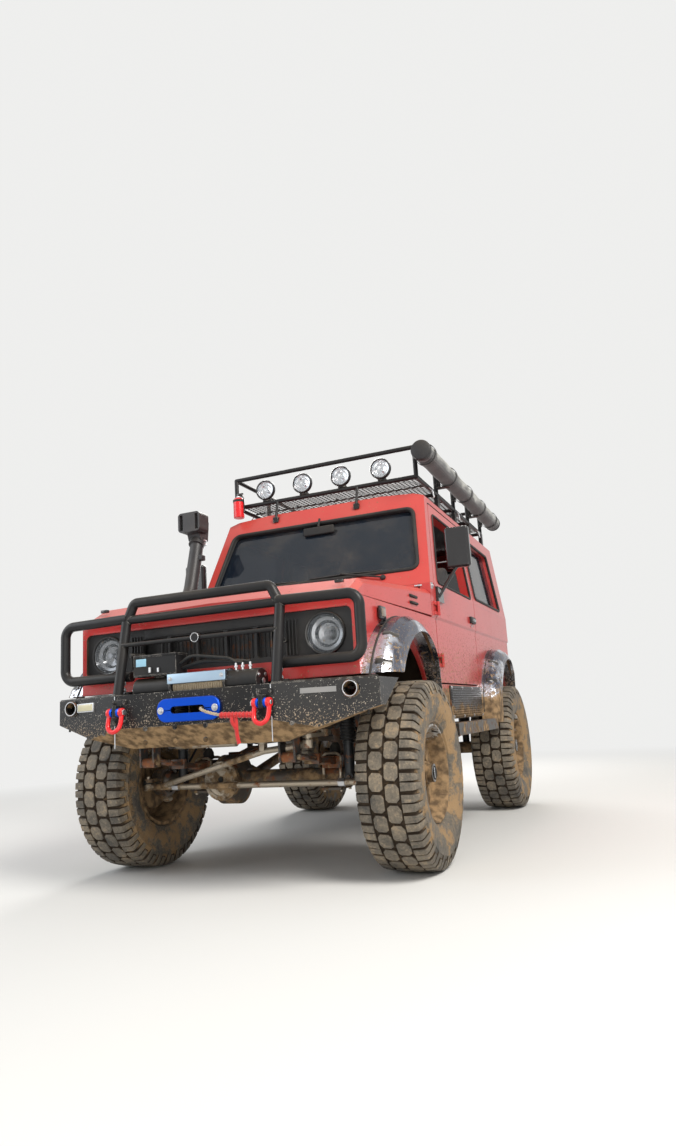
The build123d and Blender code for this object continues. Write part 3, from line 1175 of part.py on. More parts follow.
def wing_half(y):
    """Half the width over the front wings at a place behind the front axle."""
    return NOSE_HALF + (LOWER_HALF - NOSE_HALF) * (y - NOSE_Y) / (COWL_Y - NOSE_Y)


def hinge_fixed(stand, way):
    """The carrying half of a hinge: pin along z, two barrels and a leaf that lies on the surface."""
    pieces = [Cylinder(HINGE_PIN_RADIUS, 2 * HINGE_REACH)]
    low, high = HINGE_HALF + SHUT_GAP, HINGE_REACH
    for up in (1, -1):
        pieces.append(Pos(0, 0, up * (low + high) / 2) * Cylinder(HINGE_RADIUS, high - low))
        z0, z1 = sorted((up * low, up * high))
        y0, y1 = sorted((0, -way * HINGE_LEAF))
        pieces.append(block(-stand - 1, -HINGE_RADIUS + HINGE_LEAF_THICKNESS, y0, y1, z0, z1))
    return joined(*pieces)


def hinge_moving(stand, way):
    """The carried half: one barrel that turns on the pin, with its leaf on the other side."""
    barrel = Cylinder(HINGE_RADIUS, 2 * HINGE_HALF)
    y0, y1 = sorted((0, way * HINGE_LEAF))
    leaf = block(-stand - 1, -HINGE_RADIUS + HINGE_LEAF_THICKNESS, y0, y1, -HINGE_HALF, HINGE_HALF)
    return barrel + leaf - Cylinder(HINGE_PIN_RADIUS + PIN_CLEARANCE, 3 * HINGE_REACH)


def door_hinges(half):
    """Both hinges of the left door, as the given half."""
    surfaces = [(z, DOOR_HINGE_X - (BODY_HALF if z > CREASE_Z else LOWER_HALF)) for z in DOOR_HINGE_HEIGHTS]
    return [Pos(DOOR_HINGE_X, DOOR_HINGE_Y, z) * half(stand, 1) for z, stand in surfaces]


def hatch_hinges(half):
    return [Pos(HATCH_HINGE_X, HATCH_HINGE_Y, z) * Rot(0, 0, 90) * half(HATCH_HINGE_Y - BODY_REAR, -1)
            for z in HATCH_HINGE_HEIGHTS]


def bonnet_hinges(half, stand):
    return [Pos(x, BONNET_HINGE_Y, BONNET_HINGE_Z) * Rot(0, -90, 0) * half(stand, -1)
            for x in (BONNET_HINGE_X, -BONNET_HINGE_X)]


def rounded(shape, axis, radius):
    """Round the edges that run along an axis."""
    return fillet(shape.edges().filter_by(axis), radius)


def side_cut(points, sign, margin, corner):
    """A tool through one body side: an outline grown by a margin, with rounded corners."""
    prism = side_prism(grown(points, margin), 0, BODY_HALF + 10)
    prism = rounded(prism, Axis.X, corner + margin)
    return prism if sign > 0 else mirrored(prism)


def floor_pan():
    """Floor with its body mounts, firewall and the cowl box below the windscreen."""
    half = LOWER_HALF - WALL - SHUT_GAP
    floor = block(-half, half, COWL_Y, BODY_REAR - HATCH_DEPTH - SHUT_GAP, FLOOR_Z,
                  FLOOR_Z + FLOOR_THICKNESS)
    firewall = block(-half, half, COWL_Y, COWL_Y + 25, FLOOR_Z, BONNET_REAR_Z)
    cowl = side_prism([(COWL_Y, BONNET_REAR_Z - 25), (COWL_Y, BONNET_REAR_Z + 4),
                       (screen_line(BELT_Z), BELT_Z - SHUT_GAP),
                       (screen_line(BELT_Z, SCREEN_DEPTH), BELT_Z - SHUT_GAP),
                       (screen_line(BELT_Z, SCREEN_DEPTH), BONNET_REAR_Z - 25)], -half, half)
    mounts = [(s * FRAME_X, y, z) for s in (1, -1) for y, z in BODY_MOUNTS]
    pads = [rod((x, y, z + SHUT_GAP), (x, y, FLOOR_Z + 2), MOUNT_RADIUS) for x, y, z in mounts]
    pan = joined(floor, firewall, cowl, *pads, *bonnet_hinges(hinge_fixed, HINGE_RADIUS))
    for x0, x1 in ((HOUSE_INNER - SHUT_GAP, BODY_HALF + 100), (-BODY_HALF - 100, -HOUSE_INNER + SHUT_GAP)):
        pan = pan - arch_cut(REAR_AXLE_Y, REAR_ARCH_RADIUS + HOUSE_WALL + SHUT_GAP, x0, x1, REAR_ARCH_Z)
    return pan


def tyre_form():
    """The tyre about its own middle, axle along x, with notches that part the shoulder lugs."""
    body = turned(tyre_profile(), (0, 0, 0))
    inner, low, high = TREAD_WIDTH * 0.2, TYRE_RADIUS - LUG_DEPTH, TYRE_RADIUS + 10
    side, past = TYRE_RADIUS - 40, TYRE_WIDTH / 2 + 10
    outline = [(inner, high), (inner, low), (TREAD_WIDTH / 2 - 8, low), (TYRE_WIDTH / 2 - 12, side),
               (past, side), (past, high)]
    face = face_of([(a, -LUG_GAP / 2, r) for a, r in outline])
    notch = Solid.extrude(face, Vector(0, LUG_GAP, 0))
    step = 360 / LUG_COUNT
    cuts = [Rot(k * step, 0, 0) * notch for k in range(LUG_COUNT)]
    cuts += [Rot((k + 0.5) * step, 0, 0) * mirrored(notch) for k in range(LUG_COUNT)]
    return body.cut(*cuts)


def rack_deck():
    """Mesh floor of the rack, as a sheet that lies on the cross tubes."""
    half, low = RACK_HALF - RACK_TUBE - SHUT_GAP, RACK_LOW_Z + RACK_TUBE - 2 + SHUT_GAP
    front, rear = RACK_FRONT + RACK_TUBE + SHUT_GAP, RACK_REAR - RACK_TUBE - SHUT_GAP
    return block(-half, half, front, rear, low, low + 4)


def extinguisher():
    """Bottle that hangs in front of the rack's right corner post, with its valve, lever and clip."""
    x, y = -RACK_HALF + 37, RACK_FRONT - RACK_TUBE - BOTTLE_RADIUS - 4
    low = BOTTLE_LOW_Z
    top = low + BOTTLE_HEIGHT
    bottle = turned([(0, 0), (0, BOTTLE_RADIUS - 8), (8, BOTTLE_RADIUS), (top - low - 24, BOTTLE_RADIUS),
                     (top - low, 12), (top - low + 26, 12), (top - low + 26, 0)], (x, y, low), Axis.Z)
    lever = block(x - 8, x + 8, y - 44, y + 14, top + 16, top + 26)
    clip = block(x - 9, x + 9, y, RACK_FRONT - RACK_TUBE - SHUT_GAP, RACK_LOW_Z - 9, RACK_LOW_Z + 9)
    return joined(bottle, lever, clip)


def winch_rope():
    """Rope out of the fairlead, and the strap that ties its end to a leg of the left shackle."""
    y = BUMPER_FACE_Y - SHACKLE_STAND - SHACKLE_BOW * 0.65
    knot = SHACKLE_Z - SHACKLE_DROP * 0.56
    line = bar([(44, BUMPER_FACE_Y + 40, FAIRLEAD_Z - 1), (66, BUMPER_FACE_Y - 30, FAIRLEAD_Z - 3),
                (170, y, knot + 2)], ROPE_RADIUS, 16)
    strap = bar([(160, y, knot + 5), (232, y, knot - 6), (KNOT_X, y, knot)], STRAP_RADIUS, 40)
    tail = rod((226, y, knot - 4), (238, y, knot - 108), STRAP_RADIUS - 3)
    return joined(line, strap, tail)


def marker_lamps():
    """Side indicator on each wing, and the marker lamp on the bumper's right wing."""
    pieces = []
    for sign in (1, -1):
        side = wing_half(INDICATOR_Y + 28) + SHUT_GAP
        one = block(side, side + 16, INDICATOR_Y - 28, INDICATOR_Y + 28, INDICATOR_Z - 22, INDICATOR_Z + 22)
        one = rounded(one, Axis.X, 6)
        pieces.append(one if sign > 0 else mirrored(one))
    slope = math.atan2(BUMPER_END_Y - BUMPER_FACE_Y, BUMPER_HALF - BUMPER_CENTRE_HALF)
    way = (MARKER_X - BUMPER_CENTRE_HALF) / (BUMPER_HALF - BUMPER_CENTRE_HALF)
    face_y = BUMPER_FACE_Y + way * (BUMPER_END_Y - BUMPER_FACE_Y)
    lens = block(-60, 60, -14 - SHUT_GAP, -SHUT_GAP, -19, 19)
    pieces.append(Pos(-MARKER_X, face_y, MARKER_Z) * Rot(0, 0, -math.degrees(slope)) * lens)
    return group(*pieces)


PIECES = [
    ("chassis_frame", frame_rails), ("floor_pan", floor_pan), ("body_tub", body_tub),
    ("front_wings", front_wings), ("grille", grille),
    ("headlamps", headlamps), ("windscreen_frame", windscreen_frame), ("hard_top", hard_top),
    ("fixed_glass", fixed_glass), ("seats", seats), ("dashboard", dashboard),
    ("steering_wheel", steering_wheel), ("front_bumper", front_bumper), ("bull_bar", bull_bar),
    ("winch", winch), ("fairlead", fairlead), ("recovery_shackles", recovery_shackles),
    ("roof_rack", roof_rack), ("rack_deck", rack_deck), ("rack_lamps", rack_lamps),
    ("extinguisher", extinguisher), ("winch_rope", winch_rope), ("marker_lamps", marker_lamps),
    ("awning", awning), ("snorkel", snorkel),
    ("wheel_flares", wheel_flares), ("rock_sliders", rock_sliders),
    ("rear_bumper", rear_bumper), ("tail_lamps", tail_lamps), ("engine", engine),
    ("drivetrain", drivetrain), ("exhaust", exhaust), ("fuel_tank", fuel_tank), ("front_axle", front_axle),
    ("rear_axle", rear_axle), ("leaf_springs", springs), ("shock_absorbers", shock_absorbers),
    ("bonnet", bonnet), ("tailgate", tailgate),
    ("tailgate_glass", tailgate_glass), ("steering_links", steering_links), ("pitman_arm", pitman_arm),
]
SIDES = [("left", 1), ("right", -1)]

if __name__ == "__main__":
    for name, make in PIECES:
        write(name, make())
    for side, sign in SIDES:
        write(f"door_{side}", door_side(sign))
        write(f"mirror_{side}", mirror_assembly(sign))
        write(f"knuckle_{side}", knuckle(sign))
    write("door_right_glass", door_glass(-1))
    lugged = tyre_form()
    for name, x, y in WHEEL_PLACES:
        write(f"tyre_{name}", Pos(x, y, AXLE_HEIGHT) * lugged)
        brake = DISC if y == 0 else DRUM
        write(f"rim_{name}", wheel_rim(1 if x > 0 else -1, x, y, AXLE_HEIGHT, brake))
    spare_y = BODY_REAR + SPARE_GAP + TYRE_WIDTH / 2
    write("spare_tyre", Pos(SPARE_X, spare_y, SPARE_Z) * Rot(0, 0, 90) * lugged)
    write("spare_rim", Pos(SPARE_X, spare_y, SPARE_Z) * Rot(0, 0, 90) * wheel_rim(1, 0, 0, 0))
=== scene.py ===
import math

import bmesh
import bpy
from mathutils import Matrix, Vector, noise


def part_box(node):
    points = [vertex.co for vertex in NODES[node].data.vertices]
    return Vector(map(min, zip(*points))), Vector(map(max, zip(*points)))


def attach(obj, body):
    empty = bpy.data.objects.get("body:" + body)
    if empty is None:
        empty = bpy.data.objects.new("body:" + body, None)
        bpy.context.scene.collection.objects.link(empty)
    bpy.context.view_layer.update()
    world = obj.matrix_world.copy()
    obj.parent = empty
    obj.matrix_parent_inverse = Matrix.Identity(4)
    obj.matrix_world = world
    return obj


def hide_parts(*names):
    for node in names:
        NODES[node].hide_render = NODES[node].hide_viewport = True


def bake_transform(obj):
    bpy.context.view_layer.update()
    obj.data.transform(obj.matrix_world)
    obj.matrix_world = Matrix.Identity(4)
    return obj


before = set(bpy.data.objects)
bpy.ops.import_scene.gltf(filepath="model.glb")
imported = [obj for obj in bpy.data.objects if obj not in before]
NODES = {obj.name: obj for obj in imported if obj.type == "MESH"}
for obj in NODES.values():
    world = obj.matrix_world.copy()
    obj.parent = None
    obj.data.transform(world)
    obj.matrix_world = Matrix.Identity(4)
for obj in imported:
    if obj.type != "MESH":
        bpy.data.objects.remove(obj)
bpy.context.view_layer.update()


def span(node):
    """Lowest corner, highest corner and middle of a CAD node."""
    low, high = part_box(node)
    return low, high, (low + high) / 2


FRONT_AXLE = span("rim_fl")[2].y


def at(x, y, z):
    """A place in the frame, in metres."""
    return Vector((x / 1000.0, FRONT_AXLE + y / 1000.0, z / 1000.0))


# Camera: where the photograph was taken from
CAMERA_PLACE = at(1703.0, -3237.65, 652.0)
CAMERA_AZIMUTH = math.radians(22.0)
CAMERA_RISE = math.radians(-10.6)
CAMERA_ROLL = math.radians(3.5)
CAMERA_LENS = 24.03
PAPER = (0.86, 0.86, 0.85)

# Colours, linear
PAINT_RED = (0.47, 0.030, 0.028)
# The paler red is partly sun-faded paint and partly the painted sunlit red of the tops.
PAINT_FADED_AND_LIT = (0.60, 0.085, 0.066)
PAINT_DEEP = (0.36, 0.022, 0.022)
PRIMER = (0.20, 0.11, 0.085)
WORN_STEEL = (0.30, 0.28, 0.25)
CHIP = (0.52, 0.49, 0.44)
MUD_DRY = (0.330, 0.215, 0.110)
MUD_WET = (0.110, 0.070, 0.036)
# The next colour is dark mud and painted shade, for the body's underside and hollows.
UNDER_MUD_AND_SHADE = (0.050, 0.034, 0.020)
# The next colour is painted shade, near black, for inside the cabin.
CABIN_SHADE = (0.030, 0.030, 0.032)
DUST = (0.34, 0.26, 0.17)
RUST = (0.20, 0.070, 0.025)
BLACK = (0.014, 0.014, 0.015)
RUBBER = (0.050, 0.047, 0.043)
LUG_FACE = (0.190, 0.160, 0.120)

SIDES = ((1, "left"), (-1, "right"))

# Sizes that the pieces share, millimetres
BODY_HALF = 692.0
BELT_Z, GUTTER_Z = 1296.0, 1840.0
SIDE_LEAN = 70.0 / (GUTTER_Z - BELT_Z)
SCREEN_Y, SCREEN_Z, SCREEN_RAKE = 562.0, 1391.0, 0.4973
HUB_X, HUB_Z, WHEELBASE = 685.0, 393.5, 2030.0
SPRING_X, DAMPER_X = 330, 425
AXLE_BULGE_X, COVER_Y = -200, 106.5
FACE_Y = -656.0
DRUM_Y, DRUM_Z = -588, 806
FAIRLEAD_Z = 715
BOLT_RING = 62
ROD_Y = -150
ARCHES = ((-70, 590), (1965, 560))
DOOR_WINDOW = ((667, 1316), (873, 1745), (1440, 1745), (1440, 1316))
REAR_WINDOW = ((1575, 1336), (1575, 1745), (2330, 1745), (2380, 1336))


def side_x(z):
    """The body side's distance from the middle at a height above the belt line."""
    return BODY_HALF - SIDE_LEAN * max(0.0, z - BELT_Z)


def screen_y(z):
    return SCREEN_Y + (z - SCREEN_Z) * SCREEN_RAKE


def wing_y(x):
    """The front bumper's face, which sweeps back on both sides of its flat middle."""
    return FACE_Y + max(0.0, abs(x) - 358.0) * 118.0 / 394.0


# Shader and geometry graphs
class Value:
    """A value that a graph works out. Arithmetic on it adds Math nodes."""

    def __init__(self, graph, socket):
        self.graph, self.socket = graph, socket

    def math(self, operation, *values):
        return self.graph.add("ShaderNodeMath", {"operation": operation}, *values)

    def __add__(self, other):
        return self.math("ADD", self, other)

    def __sub__(self, other):
        return self.math("SUBTRACT", self, other)

    def __mul__(self, other):
        return self.math("MULTIPLY", self, other)

    def __rsub__(self, other):
        return self.math("SUBTRACT", other, self)

    __radd__ = __add__
    __rmul__ = __mul__

    def most(self, other):
        return self.math("MAXIMUM", self, other)

    def wave(self):
        return self.math("SINE", self)


class Graph:
    """A node tree that is filled by calls: a node's type, its settings, then its inputs."""

    def __init__(self, tree):
        self.tree = tree

    def feed(self, socket, value):
        if isinstance(value, Value):
            self.tree.links.new(value.socket, socket)
        elif value is not None:
            if socket.type == "RGBA" and len(value) == 3:
                value = (*value, 1.0)
            socket.default_value = value

    def add(self, kind, settings=None, *values, out=0, **named):
        node = self.tree.nodes.new(kind)
        for key, value in (settings or {}).items():
            setattr(node, key, value)
        for index, value in enumerate(values):
            self.feed(node.inputs[index], value)
        for key, value in named.items():
            self.feed(node.inputs[key.replace("_", " ")], value)
        return Value(self, node.outputs[out])


class Finish(Graph):
    """A material: patterns on object coordinates that end in one Principled shader."""

    def __init__(self, name):
        self.material = bpy.data.materials.new(name)
        self.material.use_nodes = True
        super().__init__(self.material.node_tree)
        self.shader = self.tree.nodes["Principled BSDF"]
        coordinates = self.tree.nodes.new("ShaderNodeTexCoord")
        self.place = Value(self, coordinates.outputs["Object"])
        self.facing = Value(self, coordinates.outputs["Normal"])
        parts = self.tree.nodes.new("ShaderNodeSeparateXYZ")
        self.feed(parts.inputs[0], self.place)
        self.x, self.y, self.z = (Value(self, socket) for socket in parts.outputs)

    def up(self):
        """How far a surface looks up: 1 on top, -1 underneath."""
        return self.add("ShaderNodeSeparateXYZ", None, self.facing, out=2)

    def leftward(self):
        """How far a surface looks to the vehicle's left."""
        return self.add("ShaderNodeSeparateXYZ", None, self.facing, out=0)

    def inward(self):
        """1 on surfaces that look towards the vehicle's middle line."""
        return self.rise(self.leftward() * self.x.math("SIGN", self.x), -0.15, -0.45)

    def moved(self, x, y, z):
        return self.add("ShaderNodeVectorMath", {"operation": "ADD"}, self.place, (x, y, z))

    def scaled(self, x, y, z):
        """Coordinates stretched along the axes, for brushed or streaked patterns."""
        return self.add("ShaderNodeVectorMath", {"operation": "MULTIPLY"}, self.place, (x, y, z))

    def noise(self, scale, detail=3.0, rough=0.55, at=None):
        return self.add("ShaderNodeTexNoise", None, at or self.place, Scale=scale, Detail=detail,
                        Roughness=rough)

    def cells(self, scale, at=None):
        return self.add("ShaderNodeTexVoronoi", None, at or self.place, Scale=scale)

    def rise(self, value, low, high):
        """0 below low, 1 above high and a smooth rise between; high may be the lower one."""
        ends = (high, low, 1.0, 0.0) if high < low else (low, high, 0.0, 1.0)
        return self.add("ShaderNodeMapRange", {"interpolation_type": "SMOOTHSTEP"}, value, *ends)

    def mix(self, share, one, other):
        node = self.tree.nodes.new("ShaderNodeMix")
        node.data_type = "RGBA"
        for index, value in ((0, share), (6, one), (7, other)):
            self.feed(node.inputs[index], value)
        return Value(self, node.outputs[2])

    def spread(self, value, low, high):
        """A 0 to 1 value brought to a range."""
        return value * (high - low) + low

    def worn_edges(self, radius=0.006):
        """1 along sharp edges, broken up as hands, stones and straps wear them."""
        rounded = self.add("ShaderNodeBevel", {"samples": 4}, radius)
        flat = self.add("ShaderNodeNewGeometry", None, out=1)
        same = self.add("ShaderNodeVectorMath", {"operation": "DOT_PRODUCT"}, rounded, flat, out=1)
        return self.rise(same, 0.985, 0.90) * self.rise(self.noise(45.0, 4.0, 0.65), 0.44, 0.60)

    def soil(self, patch):
        """Mud with wet and dry places."""
        return self.mix(self.rise(patch, 0.35, 0.65), MUD_WET, MUD_DRY)

    def finish(self, color, rough=0.5, metal=0.0, bumps=(), edge=0.0, coat=0.0, coat_rough=0.1, **fixed):
        """Join the patterns to the shader. bumps are (height, depth in metres); edge rounds sharp edges."""
        self.feed(self.shader.inputs["Base Color"], color)
        self.feed(self.shader.inputs["Roughness"], rough)
        self.feed(self.shader.inputs["Metallic"], metal)
        self.feed(self.shader.inputs["Coat Weight"], coat)
        self.shader.inputs["Coat Roughness"].default_value = coat_rough
        for key, value in fixed.items():
            self.feed(self.shader.inputs[key.replace("_", " ")], value)
        normal = self.add("ShaderNodeBevel", {"samples": 4}, edge) if edge else None
        for height, depth in bumps:
            normal = self.add("ShaderNodeBump", None, Strength=1.0, Distance=depth, Height=height,
                              Normal=normal)
        if normal:
            self.feed(self.shader.inputs["Normal"], normal)
        return self.material


def mud_splash(f, top, bottom, seed=0.0):
    """Where mud lies on a body side: all over at the bottom height, in streaks and specks up to the top."""
    low = f.rise(f.z, top, bottom)
    blots = f.noise(9.0, 7.0, 0.68, f.moved(seed, seed * 0.7, seed * 0.3))
    specks = f.noise(75.0, 3.0, 0.65, f.moved(seed, 0.0, seed))
    return f.rise(blots * 0.62 + specks * 0.38 + low * 0.62, 0.80, 0.88)


def dust_film(f, amount):
    """A thin film of dust that gathers on what looks up."""
    return f.rise(f.up() * 0.35 + f.noise(4.0, 5.0, 0.6), 0.45, 1.15) * amount


def shade(color, share, lift=0.0):
    """A colour made darker or lighter."""
    return [min(1.0, c * share + lift) for c in color]


# Materials
def underside(f):
    """1 between the wheel houses, below the floor and under the bonnet, and inside the wheel arches: the
    places that the body paint darkens as painted shade.
    """
    across = f.x.math("ABSOLUTE", f.x)
    hollow = f.rise(across, 0.645, 0.635) * f.rise(f.z, 1.07, 1.04)
    hollow = hollow * f.rise(f.y, FRONT_AXLE - 0.42, FRONT_AXLE - 0.40)
    hollow = hollow * f.rise(f.y, FRONT_AXLE + 2.50, FRONT_AXLE + 2.48)
    return hollow.most(f.inward() * f.rise(f.z, 1.15, 1.05))


def cabin_shade_mask(f):
    """1 on the cabin's inner sides and under its roof, which are painted near black as shade inside the
    cabin.
    """
    sides = f.inward() * f.rise(f.z, 1.12, 1.16) * f.rise(f.y, FRONT_AXLE + 0.55, FRONT_AXLE + 0.60)
    return sides.most(f.rise(f.up(), -0.6, -0.8) * f.rise(f.z, 1.75, 1.78))


def body_paint():
    """Red paint, paler on top from sun-fading and from painted top light: stone chips down to primer on the
    edges, dust on top, mud splashed from below, with painted shade under the body and inside the cabin.
    """
    f = Finish("body_paint")
    # Tops turn to the paler red: partly sun-fading, partly painted light falling from above.
    fade_and_top_light = f.rise(f.up() * 0.5 + f.noise(1.7, 3.0) * 0.6, 0.2, 0.9)
    color = f.mix(fade_and_top_light * 0.8, PAINT_RED, PAINT_FADED_AND_LIT)
    color = f.mix(f.rise(f.noise(11.0, 5.0, 0.65), 0.60, 0.80) * 0.3, color, PAINT_DEEP)
    color = f.mix(f.worn_edges(0.004) * 0.7, color, PRIMER)
    film = dust_film(f, 0.16)
    color = f.mix(film, color, DUST)
    behind = f.rise(f.y, FRONT_AXLE + 0.10, FRONT_AXLE + 0.50)
    mud = mud_splash(f, 1.00, 0.55) * f.spread(behind, 0.30, 1.0)
    thick = f.rise(f.z, 1.30, 0.80) * f.spread(behind, 0.35, 1.0)
    fleck = f.rise(f.noise(85.0, 3.0, 0.7) + thick * 0.13, 0.66, 0.70)
    mud = mud.most(fleck * 0.85)
    under = underside(f)
    mud = mud.most(under * f.rise(f.noise(7.0, 5.0), 0.25, 0.45))
    # Painted shade: the cabin's inner sides and the roof's underside go near black.
    color = f.mix(cabin_shade_mask(f), color, CABIN_SHADE)
    # Under the body, under the bonnet and in the wheel arches the colour goes near black: dark mud and
    # painted shade.
    color = f.mix(mud, color, f.mix(under, f.soil(f.noise(22.0, 3.0)), UNDER_MUD_AND_SHADE))
    return f.finish(color, f.spread(mud.most(film * 1.5), 0.33, 0.92), edge=0.005,
                    coat=(1.0 - mud) * 0.35, coat_rough=0.12,
                    bumps=[(f.noise(420.0, 1.0), 0.00008), (mud * f.noise(90.0, 4.0, 0.7), 0.0022)])


def powder_coat(name="powder_coat", mud_top=0.80, mud_bottom=0.45, specks=0.0, rough=0.36, cake=0.0):
    """Black coated steel: bare worn edges, stone chips, dust, and mud low down; cake muds what looks down."""
    f = Finish(name)
    base = f.mix(f.noise(6.0, 4.0), shade(BLACK, 0.6), shade(BLACK, 1.4))
    base = f.mix(f.worn_edges() * 0.85, base, WORN_STEEL)
    film = dust_film(f, 0.10)
    base = f.mix(film, base, DUST)
    if specks:
        low = f.rise(f.z, 0.78, 0.60)
        chips = f.rise(f.noise(150.0, 2.0, 0.75) + f.noise(11.0, 3.0) * 0.12 + low * 0.12, 0.72, 0.76)
        base = f.mix(chips * specks, base, f.mix(low, CHIP, MUD_DRY))
    mud = mud_splash(f, mud_top, mud_bottom, 1.3)
    if cake:
        under = f.rise(f.up() + f.noise(12.0, 5.0, 0.6) * 0.5, 0.12, -0.15)
        mud = mud.most(under * cake)
    base = f.mix(mud, base, f.soil(f.noise(26.0, 3.0)))
    return f.finish(base, f.spread(mud.most(film), rough, 0.9), edge=0.002, Specular_IOR_Level=0.25,
                    bumps=[(f.noise(260.0, 2.0), 0.00015), (mud * f.noise(95.0, 4.0, 0.7), 0.0025)])


def muddy_steel(name, bare, mud_share, metal=0.6, seed=0.0, rust=0.35):
    """Rusty steel under a coat of mud that leaves bare patches; mud_share from 0 to 1."""
    f = Finish(name)
    rusty = f.rise(f.noise(18.0, 6.0, 0.65, f.moved(seed, seed, seed)), 0.62 - rust * 0.3, 0.72 - rust * 0.2)
    patch = f.noise(7.0, 7.0, 0.66) + f.noise(55.0, 3.0) * 0.25
    cake = f.rise(patch, 0.95 - mud_share * 0.55, 1.03 - mud_share * 0.5)
    color = f.mix(rusty, bare, RUST)
    color = f.mix(f.worn_edges() * 0.5, color, (0.33, 0.27, 0.21))
    color = f.mix(cake, color, f.soil(f.noise(30.0, 4.0)))
    rough = f.spread(cake.most(rusty), 0.42, 0.93)
    return f.finish(color, rough, metal=(1.0 - cake.most(rusty)) * metal, edge=0.0025,
                    bumps=[(f.noise(180.0, 3.0), 0.0003), (cake * f.noise(75.0, 5.0, 0.7), 0.004)])


def moulded(name, color, rough=0.45, grain=0.0004, edge=0.002, dust=0.15, coat=0.0):
    """Moulded plastic or rubber with a fine grain, rubbed edges and a little dust."""
    f = Finish(name)
    film = dust_film(f, dust)
    base = f.mix(f.noise(8.0, 3.0) * 0.6, color, shade(color, 1.6, 0.004))
    base = f.mix(f.worn_edges(0.003) * 0.35, base, shade(color, 2.2, 0.03))
    base = f.mix(film, base, DUST)
    return f.finish(base, f.spread(f.noise(30.0, 3.0), rough * 0.85, rough * 1.15), edge=edge, coat=coat,
                    Specular_IOR_Level=0.3, bumps=[(f.noise(520.0, 2.0), grain)])


def cloth(name, color, scale=900.0, dust=0.1, top=None):
    """Woven cloth: two crossed sets of threads, fuzz, wear and dust; top is the pale colour of the upper and
    left faces: sun-bleaching and painted light from the key lamp's side.
    """
    f = Finish(name)
    warp = (f.x * scale).wave() * 0.5 + 0.5
    weft = ((f.y + f.z) * scale).wave() * 0.5 + 0.5
    weave = warp * weft + f.noise(300.0, 2.0) * 0.4
    base = f.mix(f.rise(weave, 0.2, 0.9), shade(color, 0.6), shade(color, 1.35))
    if top:
        streaks = f.noise(9.0, 5.0, 0.65, f.scaled(3.0, 0.35, 1.0))
        # Pale on top and on the left faces, where the key lamp stands: sun-bleaching and painted light.
        bleached_and_lit = f.rise(f.up() * 0.45 + f.leftward() * 0.35 + streaks * 1.5, 0.92, 1.25)
        base = f.mix(bleached_and_lit, base, f.mix(streaks, shade(top, 0.55), top))
    base = f.mix(f.rise(f.noise(5.0, 5.0, 0.6), 0.42, 0.75) * 0.35, base, shade(color, 0.55))
    base = f.mix(dust_film(f, dust), base, DUST)
    return f.finish(base, 0.88, bumps=[(weave, 0.0005), (f.noise(35.0, 3.0), 0.0015)], Sheen_Weight=0.3)


def bright_metal(name, color=(0.62, 0.62, 0.62), rough=0.18, mud_top=0.0, mud_bottom=-1.0, dust=0.2,
                 dark_reflection=None):
    """Polished or plated metal with fine scratches and mud; the last argument, when given, is the colour of a
    painted dark reflection laid on in broad patches.
    """
    f = Finish(name)
    scratches = f.noise(220.0, 2.0, 0.6, f.scaled(1.0, 0.12, 1.0))
    film = dust_film(f, dust)
    mud = mud_splash(f, mud_top, mud_bottom, 2.1)
    if dark_reflection:
        mud = mud.most(f.rise(f.noise(70.0, 3.0, 0.7) + f.rise(f.z, 1.15, 0.75) * 0.12, 0.64, 0.68) * 0.9)
        mud = mud.most(f.inward())
        # Broad patches of painted dark reflection over the plating.
        color = f.mix(f.rise(f.noise(5.5, 3.0), 0.44, 0.58), color, dark_reflection)
    base = f.mix(film, color, DUST)
    base = f.mix(mud, base, f.soil(f.noise(26.0, 3.0)))
    soiled = mud.most(film)
    return f.finish(base, f.spread(soiled.most(f.noise(16.0, 4.0) * 0.35), rough, 0.85), metal=1.0 - soiled,
                    edge=0.0015, bumps=[(scratches, 0.00006), (mud * f.noise(90.0, 4.0, 0.7), 0.002)])


def window_glass():
    """Dark safety glass: a clear sheen over a tinted, partly see-through sheet, with dust in the corners."""
    f = Finish("window_glass")
    film = f.rise(f.noise(3.0, 5.0, 0.6) + f.noise(40.0, 3.0) * 0.25, 0.55, 0.95)
    return f.finish(f.mix(film * 0.16, (0.010, 0.016, 0.026), DUST), f.spread(film, 0.02, 0.12),
                    Alpha=f.spread(film, 0.72, 0.80), Specular_IOR_Level=0.6)


def lamp_glass():
    """Clear pressed glass: upright flutes, with road specks."""
    f = Finish("lamp_glass")
    specks = f.rise(f.noise(70.0, 4.0, 0.7), 0.60, 0.72)
    flutes = (f.x * 620.0).wave() + (f.z * 180.0).wave() * 0.6
    return f.finish(f.mix(specks * 0.7, (0.22, 0.24, 0.25), MUD_DRY), f.spread(specks, 0.03, 0.6),
                    Alpha=f.spread(specks, 0.22, 0.70), Specular_IOR_Level=0.5, bumps=[(flutes, 0.0006)])


